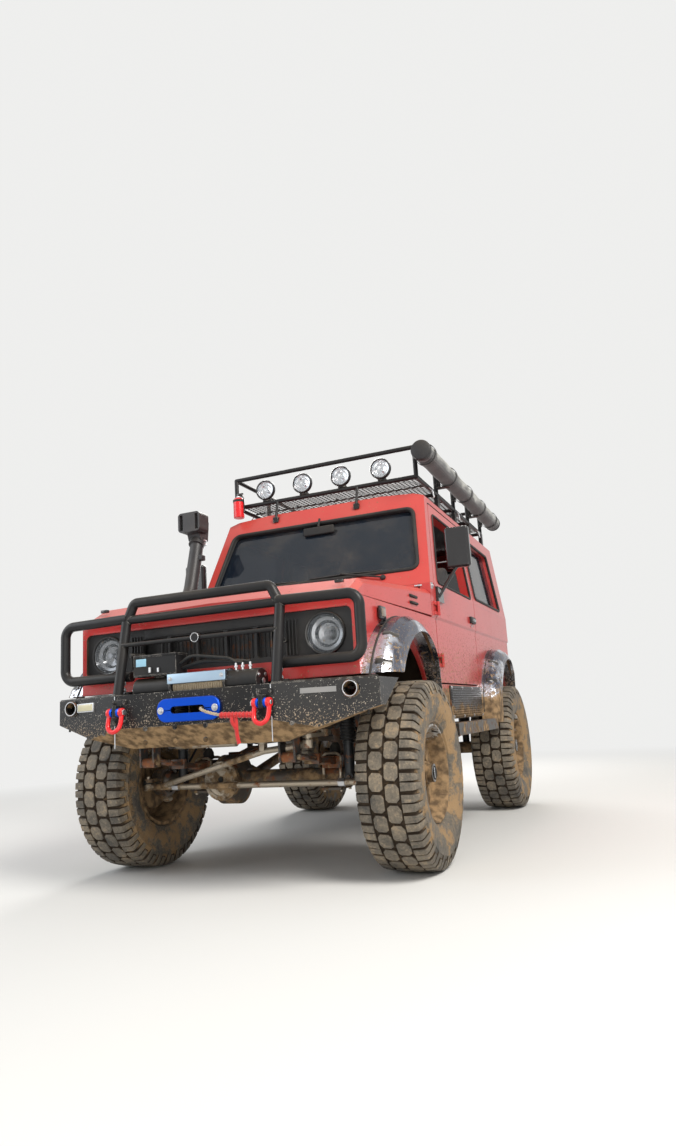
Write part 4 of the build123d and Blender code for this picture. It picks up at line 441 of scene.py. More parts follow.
def tyre_rubber():
    """Dusty worn lug faces, near-black voids that are packed mud and painted shade, tan mud on the sides;
    depth and flank are on the mesh.
    """
    f = Finish("tyre_rubber")
    depth = f.add("ShaderNodeAttribute", {"attribute_name": "depth"}, out=2)
    flank = f.add("ShaderNodeAttribute", {"attribute_name": "flank"}, out=2)
    clods = f.noise(60.0, 5.0, 0.7)
    smear = f.noise(8.0, 6.0, 0.66)
    flank = flank * f.spread(f.rise(f.z, 0.95, 0.80), 0.25, 1.0)
    face = f.mix(f.rise(smear + f.noise(120.0, 3.0) * 0.3, 0.42, 0.78), RUBBER, LUG_FACE)
    face = f.mix(f.rise(clods * 0.6 + smear * 0.5, 0.56, 0.70) * 0.75, face, DUST)
    # The voids, found by depth, go near black on the tread: packed mud and painted shade in the recesses.
    packed_mud_and_void_shade = f.rise(depth + (clods - 0.5) * 0.35 + (smear - 0.5) * flank * 2.2, 0.30, 0.55)
    tan = f.mix(f.rise(smear + clods * 0.3 + flank * 0.25, 0.72, 0.95), (0.040, 0.026, 0.015), MUD_DRY)
    color = f.mix(packed_mud_and_void_shade, face, tan)
    return f.finish(color, f.spread(packed_mud_and_void_shade, 0.68, 0.95),
                    bumps=[(f.noise(240.0, 3.0), 0.0004), (packed_mud_and_void_shade * clods, 0.005)])


def ribbed_plate():
    """Dark tread plate on the sills: raised round studs, with mud between them."""
    f = Finish("tread_plate")
    raised = f.rise(f.cells(46.0, f.scaled(1.0, 1.0, 1.7)), 0.34, 0.22)
    mud = mud_splash(f, 0.86, 0.50, 3.0)
    base = f.mix(raised, (0.045, 0.046, 0.05), (0.20, 0.20, 0.21))
    base = f.mix(mud, base, f.soil(f.noise(30.0, 3.0)))
    return f.finish(base, f.spread(mud, 0.38, 0.9), metal=(1.0 - mud) * 0.7, edge=0.0015,
                    bumps=[(raised, 0.0012), (mud * f.noise(90.0, 4.0, 0.7), 0.002)])


def stage_floor():
    """A pale floor that takes shadows and fades into the background."""
    f = Finish("stage_floor")
    away = f.add("ShaderNodeVectorMath", {"operation": "LENGTH"}, f.place, out=1)
    f.finish((0.78, 0.78, 0.77), 0.85, Specular_IOR_Level=0.1)
    glow = f.add("ShaderNodeEmission", None, PAPER, 1.0)
    blend = f.add("ShaderNodeMixShader", None, f.rise(away, 3.2, 7.5), Value(f, f.shader.outputs[0]), glow)
    f.feed(f.tree.nodes["Material Output"].inputs["Surface"], blend)
    return f.material


MATERIALS = {}


def make_materials():
    """Every finish of the vehicle, by the name that the pieces use."""
    MATERIALS.update({
        "paint": body_paint(),
        "powder": powder_coat(),
        "bumper": powder_coat("bumper_coat", 0.68, 0.42, 0.9, 0.32, 1.0),
        "gloss_black": moulded("gloss_black", BLACK, 0.16, 0.00005, coat=0.5),
        "trim": moulded("trim_black", (0.018, 0.018, 0.019), 0.5),
        "snorkel": moulded("snorkel_black", (0.030, 0.030, 0.032), 0.36),
        "interior": moulded("interior_black", (0.024, 0.024, 0.026), 0.6, dust=0.3),
        "rubber": moulded("seal_rubber", (0.014, 0.014, 0.014), 0.6),
        "frame_steel": muddy_steel("frame_steel", (0.030, 0.028, 0.027), 0.48, 0.2),
        "axle_steel": muddy_steel("axle_steel", (0.10, 0.085, 0.07), 0.66, 0.4, 1.0),
        "rod_steel": muddy_steel("rod_steel", (0.42, 0.36, 0.28), 0.60, 0.7, 2.0, 0.15),
        "exhaust": muddy_steel("exhaust_steel", (0.16, 0.11, 0.08), 0.40, 0.6, 3.0, 0.7),
        "engine": muddy_steel("engine_iron", (0.06, 0.06, 0.06), 0.15, 0.5, 4.0),
        "slider": muddy_steel("slider_steel", (0.05, 0.045, 0.04), 0.62, 0.5, 5.0, 0.2),
        "spring": muddy_steel("spring_steel", (0.08, 0.06, 0.05), 0.55, 0.5, 6.0, 0.7),
        "damper": muddy_steel("damper_black", (0.02, 0.022, 0.025), 0.30, 0.2, 7.0, 0.1),
        # The plating's dark colour is a painted dark reflection.
        "chrome": bright_metal("plated_metal", (0.62, 0.64, 0.70), 0.12, 0.96, 0.55, 0.15,
                               dark_reflection=(0.10, 0.11, 0.15)),
        "bare": bright_metal("bare_metal", (0.55, 0.56, 0.58), 0.26),
        "tie_bar": bright_metal("plated_tie_bar", (0.42, 0.55, 0.68), 0.24, dust=0.1),
        "rim": bright_metal("rim_silver", (0.46, 0.46, 0.45), 0.40, 0.95, 0.25, 0.45),
        # The headlamp reflector's metal is darkened to grey: a painted dark reflection.
        "reflector": bright_metal("lamp_reflector", (0.30, 0.31, 0.33), 0.10, dust=0.0),
        "bright_bowl": bright_metal("lamp_bowl_bright", (0.80, 0.82, 0.85), 0.10, dust=0.0),
        "blue_metal": bright_metal("anodised_blue", (0.010, 0.075, 0.52), 0.34, 0.72, 0.58, 0.1),
        "glass": window_glass(),
        "lamp_glass": lamp_glass(),
        "lens_red": moulded("lens_red", (0.42, 0.012, 0.010), 0.15, 0.00005, coat=0.6),
        "lens_amber": moulded("lens_amber", (0.60, 0.25, 0.05), 0.18, 0.00005, coat=0.6),
        "lens_clear": moulded("lens_clear", (0.50, 0.46, 0.30), 0.18, 0.00005, coat=0.6),
        "side_lens": moulded("side_lens", (0.16, 0.12, 0.09), 0.18, 0.00005, coat=0.6),
        "red_gloss": moulded("red_gloss", (0.60, 0.010, 0.014), 0.25, 0.00008, coat=0.5),
        "tyre": tyre_rubber(),
        "plate_rib": ribbed_plate(),
        "seat_cloth": cloth("seat_cloth", (0.045, 0.046, 0.052), dust=0.2),
        # The last colour is the bag's pale top and left side: sun-bleaching and painted light.
        "bag_cloth": cloth("bag_cloth", (0.040, 0.041, 0.044), 700.0, 0.2, (0.46, 0.46, 0.43)),
        "rope": cloth("rope_fibre", (0.55, 0.44, 0.30), 1500.0, 0.2),
        "strap_red": cloth("strap_red", (0.66, 0.025, 0.025), 1600.0, 0.05),
        "webbing": cloth("webbing_black", (0.02, 0.02, 0.021), 1400.0, 0.15),
        "sticker": moulded("blank_sticker", (0.25, 0.45, 0.58), 0.35, 0.0001),
        "blank_plate": moulded("blank_plate", (0.20, 0.20, 0.20), 0.4, 0.0001, dust=0.4),
        "mirror": bright_metal("mirror_glass", (0.80, 0.82, 0.84), 0.02, dust=0.05),
    })


CAD_FINISH = {
    "paint": ("body_tub", "floor_pan", "front_wings", "bonnet", "windscreen_frame", "hard_top", "door_left",
              "door_right", "tailgate"),
    "powder": ("bull_bar", "roof_rack", "winch", "rear_bumper", "rack_deck"),
    "bumper": ("front_bumper",),
    "gloss_black": ("mirror_left", "mirror_right"),
    "trim": ("grille", "fuel_tank"),
    "snorkel": ("snorkel",),
    "interior": ("dashboard", "steering_wheel"),
    "frame_steel": ("chassis_frame",),
    "axle_steel": ("front_axle", "rear_axle", "drivetrain", "knuckle_left", "knuckle_right"),
    "rod_steel": ("steering_links", "pitman_arm"),
    "exhaust": ("exhaust",),
    "engine": ("engine",),
    "slider": ("rock_sliders",),
    "spring": ("leaf_springs",),
    "damper": ("shock_absorbers",),
    "chrome": ("wheel_flares",),
    "rim": ("rim_fl", "rim_fr", "rim_rl", "rim_rr", "spare_rim"),
    "blue_metal": ("fairlead",),
    "glass": ("fixed_glass", "door_right_glass", "tailgate_glass"),
    "lamp_glass": ("headlamps", "rack_lamps"),
    "lens_red": ("tail_lamps",),
    "lens_amber": ("marker_lamps",),
    "red_gloss": ("recovery_shackles", "extinguisher"),
    "seat_cloth": ("seats",),
    "bag_cloth": ("awning",),
    "rope": ("winch_rope",),
    "tyre": ("tyre_fl", "tyre_fr", "tyre_rl", "tyre_rr", "spare_tyre"),
}


def finish_cad_nodes():
    """Give every CAD piece its finish."""
    for material, names in CAD_FINISH.items():
        for name in names:
            NODES[name].data.materials.clear()
            NODES[name].data.materials.append(MATERIALS[material])


def set_camera():
    """A wide lens low down, ahead of the vehicle and to its left, with a slight roll."""
    a, b, c = CAMERA_AZIMUTH, CAMERA_RISE, CAMERA_ROLL
    back = Vector((math.sin(a) * math.cos(b), -math.cos(a) * math.cos(b), math.sin(b)))
    right = Vector((math.cos(a), math.sin(a), 0.0))
    up = back.cross(right)
    data = bpy.data.cameras.new("camera")
    data.lens = CAMERA_LENS
    data.clip_end = 200.0
    camera = bpy.data.objects.new("camera", data)
    turned_right = right * math.cos(c) - up * math.sin(c)
    turned_up = right * math.sin(c) + up * math.cos(c)
    camera.matrix_world = Matrix((turned_right, turned_up, back)).transposed().to_4x4()
    camera.location = CAMERA_PLACE
    bpy.context.scene.collection.objects.link(camera)
    bpy.context.scene.camera = camera


LAMPS = [  # name, place, size, watts, colour
    ("key", (4.2, -3.4, 5.2), 2.6, 430.0, (1.0, 0.965, 0.91)),
    ("fill", (-5.0, -3.8, 3.4), 4.5, 150.0, (0.90, 0.95, 1.0)),
    ("rim", (-1.5, 5.2, 4.4), 3.6, 260.0, (1.0, 0.98, 0.95)),
    ("low_front", (1.2, -5.6, 1.0), 2.6, 42.0, (1.0, 0.97, 0.92)),
]


def set_stage():
    """Four area lamps, an even pale surrounding and a floor."""
    for name, place, size, watts, color in LAMPS:
        data = bpy.data.lights.new(name, "AREA")
        data.size, data.energy, data.color = size, watts, color
        lamp = bpy.data.objects.new(name, data)
        lamp.location = place
        lamp.rotation_euler = (Vector(place) - Vector((0.0, 0.0, 0.9))).to_track_quat("Z", "Y").to_euler()
        bpy.context.scene.collection.objects.link(lamp)
    bpy.context.scene.view_settings.view_transform = "Standard"
    world = bpy.data.worlds.new("studio")
    bpy.context.scene.world = world
    world.use_nodes = True
    g = Graph(world.node_tree)
    path = world.node_tree.nodes.new("ShaderNodeLightPath")
    seen = Value(g, path.outputs["Is Camera Ray"]).most(Value(g, path.outputs["Is Glossy Ray"]))
    seen = seen.most(Value(g, path.outputs["Is Transmission Ray"]))
    background = world.node_tree.nodes["Background"]
    g.feed(background.inputs["Color"], PAPER)
    g.feed(background.inputs["Strength"], seen * 0.62 + 0.38)
    bm = bmesh.new()
    bmesh.ops.create_circle(bm, cap_ends=True, segments=96, radius=60.0)
    floor = from_bmesh("stage_floor", bm)
    floor.data.materials.append(stage_floor())


# Mesh helpers
def from_bmesh(name, bm, smooth=None):
    """A new object at the origin from a bmesh; smooth is the angle in degrees below which edges are soft."""
    bmesh.ops.recalc_face_normals(bm, faces=bm.faces)
    if smooth is not None:
        limit = math.radians(smooth)
        for face in bm.faces:
            face.smooth = True
        for edge in bm.edges:
            edge.smooth = len(edge.link_faces) == 2 and edge.calc_face_angle(0.0) < limit
    mesh = bpy.data.meshes.new(name)
    bm.to_mesh(mesh)
    bm.free()
    obj = bpy.data.objects.new(name, mesh)
    bpy.context.scene.collection.objects.link(obj)
    return obj


AXES = {"x": Vector((1, 0, 0)), "y": Vector((0, 1, 0)), "z": Vector((0, 0, 1))}


def rounded_path(path, corner, closed=False, steps=5):
    """A path in millimetres with each corner drawn as a short curve."""
    points = [Vector(p) for p in path]
    if not corner:
        return points
    count, made = len(points), []
    for i, point in enumerate(points):
        if not closed and i in (0, count - 1):
            made.append(point)
            continue
        before, after = points[i - 1] - point, points[(i + 1) % count] - point
        reach = min(corner, before.length * 0.49, after.length * 0.49)
        a, b = point + before.normalized() * reach, point + after.normalized() * reach
        for k in range(steps + 1):
            t = k / steps
            made.append(a * (1 - t) ** 2 + point * 2 * t * (1 - t) + b * t ** 2)
    return made


class Shape:
    """A mesh put together from simple forms in millimetres, each in a finish from the table."""

    def __init__(self, finish):
        self.bm = bmesh.new()
        self.finishes = []
        self.use(finish)

    def use(self, finish):
        if finish not in self.finishes:
            self.finishes.append(finish)
        self.slot = self.finishes.index(finish)
        return self

    def add(self, points, faces, edge=0.0, steps=2):
        """Faces over points in metres; edge rounds the sharp ones, in millimetres."""
        verts = [self.bm.verts.new(point) for point in points]
        made = []
        for face in faces:
            made.append(self.bm.faces.new([verts[i] for i in face]))
            made[-1].material_index = self.slot
        if edge:
            bmesh.ops.recalc_face_normals(self.bm, faces=made)
            sharp = {e for f in made for e in f.edges if e.calc_face_angle(0.0) > 0.4}
            bmesh.ops.bevel(self.bm, geom=list(sharp), offset=edge / 1000.0, segments=steps, profile=0.6,
                            affect="EDGES", clamp_overlap=True, material=-1)
        return self

    def block(self, x, y, z, edge=0.0, steps=2, spin=None):
        """A box between pairs of ends; spin is (axis, degrees) about its middle."""
        low, high = at(x[0], y[0], z[0]), at(x[1], y[1], z[1])
        points = [Vector((a, b, c))
                  for a in (low.x, high.x) for b in (low.y, high.y) for c in (low.z, high.z)]
        if spin:
            middle, turn = (low + high) / 2, Matrix.Rotation(math.radians(spin[1]), 3, AXES[spin[0]])
            points = [middle + turn @ (point - middle) for point in points]
        faces = [(0, 1, 3, 2), (4, 6, 7, 5), (0, 4, 5, 1), (2, 3, 7, 6), (0, 2, 6, 4), (1, 5, 7, 3)]
        return self.add(points, faces, edge, steps)

    def prism(self, outline, push, edge=0.0, steps=2):
        """An outline in millimetres, pushed along a vector."""
        low = [at(*point) for point in outline]
        points = low + [point + Vector(push) / 1000.0 for point in low]
        n = len(outline)
        faces = [tuple(range(n)), tuple(range(n, 2 * n))]
        faces += [(i, (i + 1) % n, (i + 1) % n + n, i + n) for i in range(n)]
        return self.add(points, faces, edge, steps)

    def lathe(self, profile, centre, axis="x", sides=32, closed=False, caps=True):
        """A turned form: profile holds (along, radius) pairs, and a zero radius shuts it."""
        way = AXES[axis] if isinstance(axis, str) else Vector(axis).normalized()
        u = way.orthogonal().normalized()
        v = way.cross(u)
        middle, points, rings = at(*centre), [], []
        for along, radius in profile:
            hub = middle + way * along / 1000.0
            if radius < 1e-6:
                rings.append([len(points)])
                points.append(hub)
                continue
            rings.append(list(range(len(points), len(points) + sides)))
            for k in range(sides):
                a = 2 * math.pi * k / sides
                points.append(hub + (u * math.cos(a) + v * math.sin(a)) * radius / 1000.0)
        faces = []
        pairs = list(zip(rings, rings[1:])) + ([(rings[-1], rings[0])] if closed else [])
        for one, other in pairs:
            for k in range(sides):
                a, b = one[k % len(one)], one[(k + 1) % len(one)]
                c, d = other[(k + 1) % len(other)], other[k % len(other)]
                face = [i for n, i in enumerate((a, b, c, d)) if i not in (a, b, c, d)[:n]]
                if len(face) > 2:
                    faces.append(tuple(face))
        if caps and not closed:
            faces += [tuple(ring) for ring in (rings[0], rings[-1]) if len(ring) > 1]
        return self.add(points, faces)

    def rod(self, start, end, radius, sides=16, tip=None):
        """A straight bar between two points with slightly broken ends."""
        a, b = Vector(start), Vector(end)
        length, small = (b - a).length, min(radius * 0.2, 1.5)
        far = tip or radius
        profile = [(0, radius - small), (small, radius), (length - small, far), (length, far - small)]
        return self.lathe(profile, start, b - a, sides)

    def ball(self, centre, radius, squash=1.0, axis="z", sides=20):
        ring = [(-math.cos(math.pi * k / 10) * radius * squash, math.sin(math.pi * k / 10) * radius)
                for k in range(11)]
        ring[0], ring[-1] = (ring[0][0], 0.0), (ring[-1][0], 0.0)
        return self.lathe(ring, centre, axis, sides)

    def tube(self, path, radius, sides=10, corner=0.0, closed=False, flat=1.0, normal=None, steps=5):
        """A bar along a path; radius may be a list with one for each point, flat squashes it across."""
        points = rounded_path(path, corner, closed, steps)
        count = len(points)
        radii = radius if isinstance(radius, (list, tuple)) else [radius] * count
        ways = []
        for i in range(count):
            before = points[i] - points[i - 1] if closed or i else points[1] - points[0]
            after = points[(i + 1) % count] - points[i] if closed or i < count - 1 else before
            ways.append((before.normalized() + after.normalized()).normalized())
        side = Vector(normal) if normal else ways[0].orthogonal()
        verts = []
        for i in range(count):
            side = (side - ways[i] * side.dot(ways[i])).normalized()
            other = ways[i].cross(side)
            for k in range(sides):
                a = 2 * math.pi * k / sides
                verts.append(at(*(points[i] + (side * math.cos(a) * flat + other * math.sin(a)) * radii[i])))
        faces = []
        for i in range(count if closed else count - 1):
            j = (i + 1) % count
            faces += [(i * sides + k, i * sides + (k + 1) % sides, j * sides + (k + 1) % sides, j * sides + k)
                      for k in range(sides)]
        if not closed:
            faces += [tuple(range(sides)), tuple(range((count - 1) * sides, count * sides))]
        return self.add(verts, faces)

    def done(self, name, body="vehicle", slot=None, replaces=(), smooth=34.0):
        obj = from_bmesh(name, self.bm, smooth)
        for finish in self.finishes:
            obj.data.materials.append(MATERIALS[finish])
        if body:
            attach(obj, body)
        if replaces:
            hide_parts(*replaces)
        return obj


# Geometry Nodes: what repeats
def new_tree(name, inputs):
    """An empty geometry tree with named inputs; returns its graph and the inputs as values."""
    tree = bpy.data.node_groups.new(name, "GeometryNodeTree")
    tree.interface.new_socket("Geometry", in_out="OUTPUT", socket_type="NodeSocketGeometry")
    for label, kind in [("Geometry", "Geometry")] + inputs:
        tree.interface.new_socket(label, in_out="INPUT", socket_type="NodeSocket" + kind)
    graph = Graph(tree)
    source = tree.nodes.new("NodeGroupInput")
    return graph, {socket.name: Value(graph, socket) for socket in source.outputs if socket.name}


def close_tree(graph, geometry, material):
    """Realize Instances and Set Material, then the output."""
    real = graph.add("GeometryNodeRealizeInstances", None, geometry)
    painted = graph.add("GeometryNodeSetMaterial", None, real, Material=material)
    graph.feed(graph.tree.nodes.new("NodeGroupOutput").inputs[0], painted)
    return graph.tree


def repeat_tree():
    """Copies of a piece, each a step on from the last with a little sway, then put in place."""
    g, given = new_tree("repeat", [("Count", "Int"), ("Step", "Vector"), ("Sway", "Vector"),
                                   ("Seed", "Int"), ("Place", "Vector"), ("Finish", "Material")])
    points = g.add("GeometryNodePoints", None, given["Count"])
    index = g.add("GeometryNodeInputIndex")
    scale = {"operation": "SCALE"}
    step = g.add("ShaderNodeVectorMath", scale, given["Step"], Scale=index)
    low = g.add("ShaderNodeVectorMath", scale, given["Sway"], Scale=-1.0)
    sway = g.add("FunctionNodeRandomValue", {"data_type": "FLOAT_VECTOR"}, low, given["Sway"], ID=index,
                 Seed=given["Seed"])
    laid = g.add("GeometryNodeSetPosition", None, points, Position=step, Offset=sway)
    copies = g.add("GeometryNodeInstanceOnPoints", None, laid, Instance=given["Geometry"])
    moved = g.add("GeometryNodeTransform", None, copies, Translation=given["Place"])
    return close_tree(g, moved, given["Finish"])


def bolt_tree():
    """A hexagon head on a washer at each point, standing along the point's own direction."""
    g, given = new_tree("bolts", [("Radius", "Float"), ("Height", "Float"), ("Finish", "Material")])
    radius, height = given["Radius"], given["Height"]
    cylinder, capped = "GeometryNodeMeshCylinder", {"fill_type": "NGON"}
    washer = g.add(cylinder, capped, 16, Radius=radius * 1.5, Depth=height * 0.3)
    head = g.add(cylinder, capped, 6, Radius=radius, Depth=height)
    up = g.add("ShaderNodeCombineXYZ", None, Z=height * 0.6)
    head = g.add("GeometryNodeTransform", None, head, Translation=up)
    stud = g.add(cylinder, capped, 10, Radius=radius * 0.5, Depth=height * 1.5)
    stud = g.add("GeometryNodeTransform", None, stud, Translation=up)
    join = g.tree.nodes.new("GeometryNodeJoinGeometry")
    for part in (washer, head, stud):
        g.feed(join.inputs[0], part)
    way = g.add("GeometryNodeInputNamedAttribute", {"data_type": "FLOAT_VECTOR"}, "way")
    spin = g.add("FunctionNodeRandomValue", {"data_type": "FLOAT"}, None, None, 0.0, 1.05, out=1, Seed=7)
    base = g.add("FunctionNodeEulerToRotation", None, g.add("ShaderNodeCombineXYZ", None, Z=spin))
    turned = g.add("FunctionNodeAlignRotationToVector", {"axis": "Z"}, base, 1.0, way)
    copies = g.add("GeometryNodeInstanceOnPoints", None, given["Geometry"], Rotation=turned,
                   Instance=Value(g, join.outputs[0]))
    return close_tree(g, copies, given["Finish"])


TREES = {}


def grown(obj, tree, **values):
    """Run a tree on an object and leave its result there as a plain mesh."""
    if tree not in TREES:
        TREES[tree] = {"repeat": repeat_tree, "bolts": bolt_tree}[tree]()
    modifier = obj.modifiers.new(tree, "NODES")
    modifier.node_group = TREES[tree]
    for item in TREES[tree].interface.items_tree:
        if item.in_out == "INPUT" and item.name in values:
            modifier[item.identifier] = values[item.name]
    ready = obj.evaluated_get(bpy.context.evaluated_depsgraph_get())
    mesh = bpy.data.meshes.new_from_object(ready)
    obj.modifiers.remove(modifier)
    obj.data = mesh
    return obj


def repeated(name, shape, finish, count, step=(0, 0, 0), place=(0, 0, 0), sway=(0, 0, 0), seed=1,
             smooth=34.0):
    """A shape repeated by the tree; step, place and sway are in millimetres."""
    obj = from_bmesh(name, shape.bm, smooth)
    step, place, sway = ([value / 1000.0 for value in values] for values in (step, place, sway))
    return grown(obj, "repeat", Count=count, Step=step, Sway=sway, Seed=seed, Place=place,
                 Finish=MATERIALS[finish])


def bolts(name, spots, radius=7.0, height=5.0, finish="bare", body="vehicle"):
    """Hexagon heads; spots holds pairs of a place in millimetres and the direction it stands along."""
    mesh = bpy.data.meshes.new(name)
    mesh.from_pydata([at(*place) for place, way in spots], [], [])
    way = mesh.attributes.new("way", "FLOAT_VECTOR", "POINT")
    for item, (place, direction) in zip(way.data, spots):
        item.vector = direction
    obj = bpy.data.objects.new(name, mesh)
    bpy.context.scene.collection.objects.link(obj)
    grown(obj, "bolts", Radius=radius / 1000.0, Height=height / 1000.0, Finish=MATERIALS[finish])
    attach(obj, body)


def circle(count, radius, start=0.0):
    """Offsets of points around a circle; start turns it, in radians."""
    angles = [k * 2 * math.pi / count + start for k in range(count)]
    return [(math.cos(a) * radius, math.sin(a) * radius) for a in angles]


def route(points):
    """Close points along the smooth line that a rope takes past its control points, in millimetres."""
    curve = bpy.data.curves.new("route", "CURVE")
    curve.dimensions = "3D"
    curve.resolution_u = 12
    spline = curve.splines.new("NURBS")
    spline.points.add(len(points) - 1)
    for point, place in zip(spline.points, points):
        point.co = (*place, 1.0)
    spline.order_u = 3
    spline.use_endpoint_u = True
    holder = bpy.data.objects.new("route", curve)
    mesh = bpy.data.meshes.new_from_object(holder)
    line = [vertex.co.copy() for vertex in mesh.vertices]
    bpy.data.objects.remove(holder)
    bpy.data.curves.remove(curve)
    bpy.data.meshes.remove(mesh)
    return line


# Tyres and wheels
TYRE_R, PITCHES, VOID = 393.5, 30, 13.0
CARCASS = [(0, 380.3), (58, 380), (96, 377.5), (112, 371), (122, 356), (128.5, 338), (131, 333), (134.5, 331),
           (135, 322), (133, 318), (134.5, 300), (132.5, 276), (127, 252), (118, 230), (112, 223), (110, 214),
           (99, 207), (93.5, 205.5), (88, 199), (80, 192.6)]
LONG_STRIP = [(67, -1.8, 378), (90, -4, 376), (113, -7.5, 368), (122, -19, 358), (129.5, -40, 340),
              (134.6, -62, 328)]
CENTRE_LUG = [(4, -24), (13, -34), (46, -37), (59, -22), (60, 16), (48, 33), (18, 35), (5, 25)]


def tyre_mesh():
    """One mud tyre about the X axis: carcass, two centre columns of lugs and two shoulder columns."""
    bm = bmesh.new()
    depth = bm.verts.layers.float.new("depth")
    flank = bm.verts.layers.float.new("flank")

    def point(x, r, along, deep, side=0.0):
        turn = along / TYRE_R
        vert = bm.verts.new((x / 1000, math.sin(turn) * r / 1000, math.cos(turn) * r / 1000))
        vert[depth], vert[flank] = deep, side
        return vert

    def skin(rings, around):
        for one, other in zip(rings, rings[1:]):
            count = len(one)
            for k in range(count if around else count - 1):
                bm.faces.new((one[k], one[(k + 1) % count], other[(k + 1) % count], other[k]))

    rings, circle = [], 2 * math.pi * TYRE_R
    for x, r in [(-x, r) for x, r in CARCASS[:0:-1]] + CARCASS:
        side = min(1.0, max(0.0, (376.0 - r) / 30.0))
        ring = []
        for k in range(120):
            along = circle * k / 120
            turn = along / TYRE_R
            clod = noise.noise(Vector((x * 0.03, math.sin(turn) * 9, math.cos(turn) * 9)))
            lump = clod * 5.0 * (1 - side) + clod * side * 1.2
            ring.append(point(x, r + lump, along, 1.0 - side * 0.62, side))
        rings.append(ring)
    skin(rings + [rings[0]], True)

    def strip(side, middle, width, stations):
        """A shoulder lug that wraps over the shoulder onto the sidewall."""
        made = []
        for n, (x, drop, base) in enumerate(stations):
            r, half = TYRE_R + drop, width / 2 - 0.8 * n
            sink, out = side * (x - 2.0 - 0.5 * n), side * x
            section = [(sink, base, -half - 2.5, 1.0), (out, r - 1.6, -half, 0.35), (out, r, 1.8 - half, 0.0),
                       (out, r, half - 1.8, 0.0), (out, r - 1.6, half, 0.35), (sink, base, half + 2.5, 1.0)]
            made.append([point(u, v, middle + along, deep) for u, v, along, deep in section])
        skin(made, False)
        bm.faces.new(made[0])
        bm.faces.new(made[-1][::-1])

    def block(side, middle, outline):
        """A lug of the middle columns."""
        rows = []
        heart = Vector((sum(u for u, v in outline), sum(v for u, v in outline))) / len(outline)
        for grow, drop, deep in ((1.09, VOID + 1.5, 1.0), (1.0, 1.8, 0.35), (0.94, 0.0, 0.0)):
            spots = [heart + (Vector(spot) - heart) * grow for spot in outline]
            rows.append([point(side * u, TYRE_R - (abs(u) / 116) ** 2.6 * 8 - drop, middle + v, deep)
                         for u, v in spots])
        skin(rows, True)
        bm.faces.new(rows[-1])

    pitch = circle / PITCHES
    for side in (1, -1):
        for k in range(PITCHES):
            middle = k * pitch + (pitch / 2 if side < 0 else 0.0)
            strip(side, middle + pitch / 2 - 18.5, 33, LONG_STRIP)
            strip(side, middle + pitch / 2 + 18.0, 31, LONG_STRIP[:5])
            block(side, middle, [(u, side * v) for u, v in CENTRE_LUG])
    return from_bmesh("tyre_pattern", bm, 32).data


def place_tyre(name, mesh, centre, turn, body, node):
    """A copy of the tyre that stands in for a CAD tyre, turned about the vertical and set at its place."""
    mesh = mesh.copy()
    mesh.transform(Matrix.Translation(at(*centre)) @ Matrix.Rotation(math.radians(turn), 4, "Z"))
    obj = bpy.data.objects.new(name, mesh)
    bpy.context.scene.collection.objects.link(obj)
    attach(obj, body)
    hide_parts(node)


CORNERS = {"fl": (HUB_X, 0, 0), "fr": (-HUB_X, 0, 180),
           "rl": (HUB_X, WHEELBASE, 0), "rr": (-HUB_X, WHEELBASE, 180)}
SPARE = (60, 2750, 1190)


def wheels():
    """Mud tyres on the four corners and on the tailgate, with wheel nuts, hub dials and valves."""
    mesh = tyre_mesh()
    mesh.materials.append(MATERIALS["tyre"])
    for corner, (x, y, turn) in CORNERS.items():
        body, way = "wheel_" + corner, 1 if x > 0 else -1
        place_tyre("mud_tyre_" + corner, mesh, (x, y, HUB_Z), turn, body, "tyre_" + corner)
        nuts = [((x + way * 37, y + u, HUB_Z + v), (way, 0, 0)) for u, v in circle(5, BOLT_RING, 0.3)]
        bolts("wheel_nuts_" + corner, nuts, 9.5, 15, "rim", body)
        hub = Shape("gloss_black")
        dial = [(90, 38.6), (95, 37.5), (96.5, 30), (94, 27), (94, 0)]
        hub.lathe(dial[::way], (x, y, HUB_Z), (way, 0, 0), 32)
        hub.use("bare").block((x + way * 94, x + way * 97), (y - 4, y + 4), (HUB_Z - 22, HUB_Z + 22), 1)
        hub.use("rim").lathe([(50, 47), (52, 49.5), (58, 49.5), (60, 47)], (x, y, HUB_Z), (way, 0, 0), 32)
        valve = [(x + way * 80, y + 60, HUB_Z + 172), (x + way * 108, y + 56, HUB_Z + 166)]
        hub.use("rubber").rod(*valve, 4, 8, 3)
        hub.done("hub_dial_" + corner, body, "rim_silver")
    bpy.data.objects.remove(bpy.data.objects["tyre_pattern"])
    place_tyre("mud_tyre_spare", mesh, SPARE, 90, "tailgate", "spare_tyre")
    nuts = [((SPARE[0] + u, 2787, SPARE[2] + v), (0, 1, 0)) for u, v in circle(5, BOLT_RING)]
    bolts("spare_nuts", nuts, 10, 14, "rim", "tailgate")


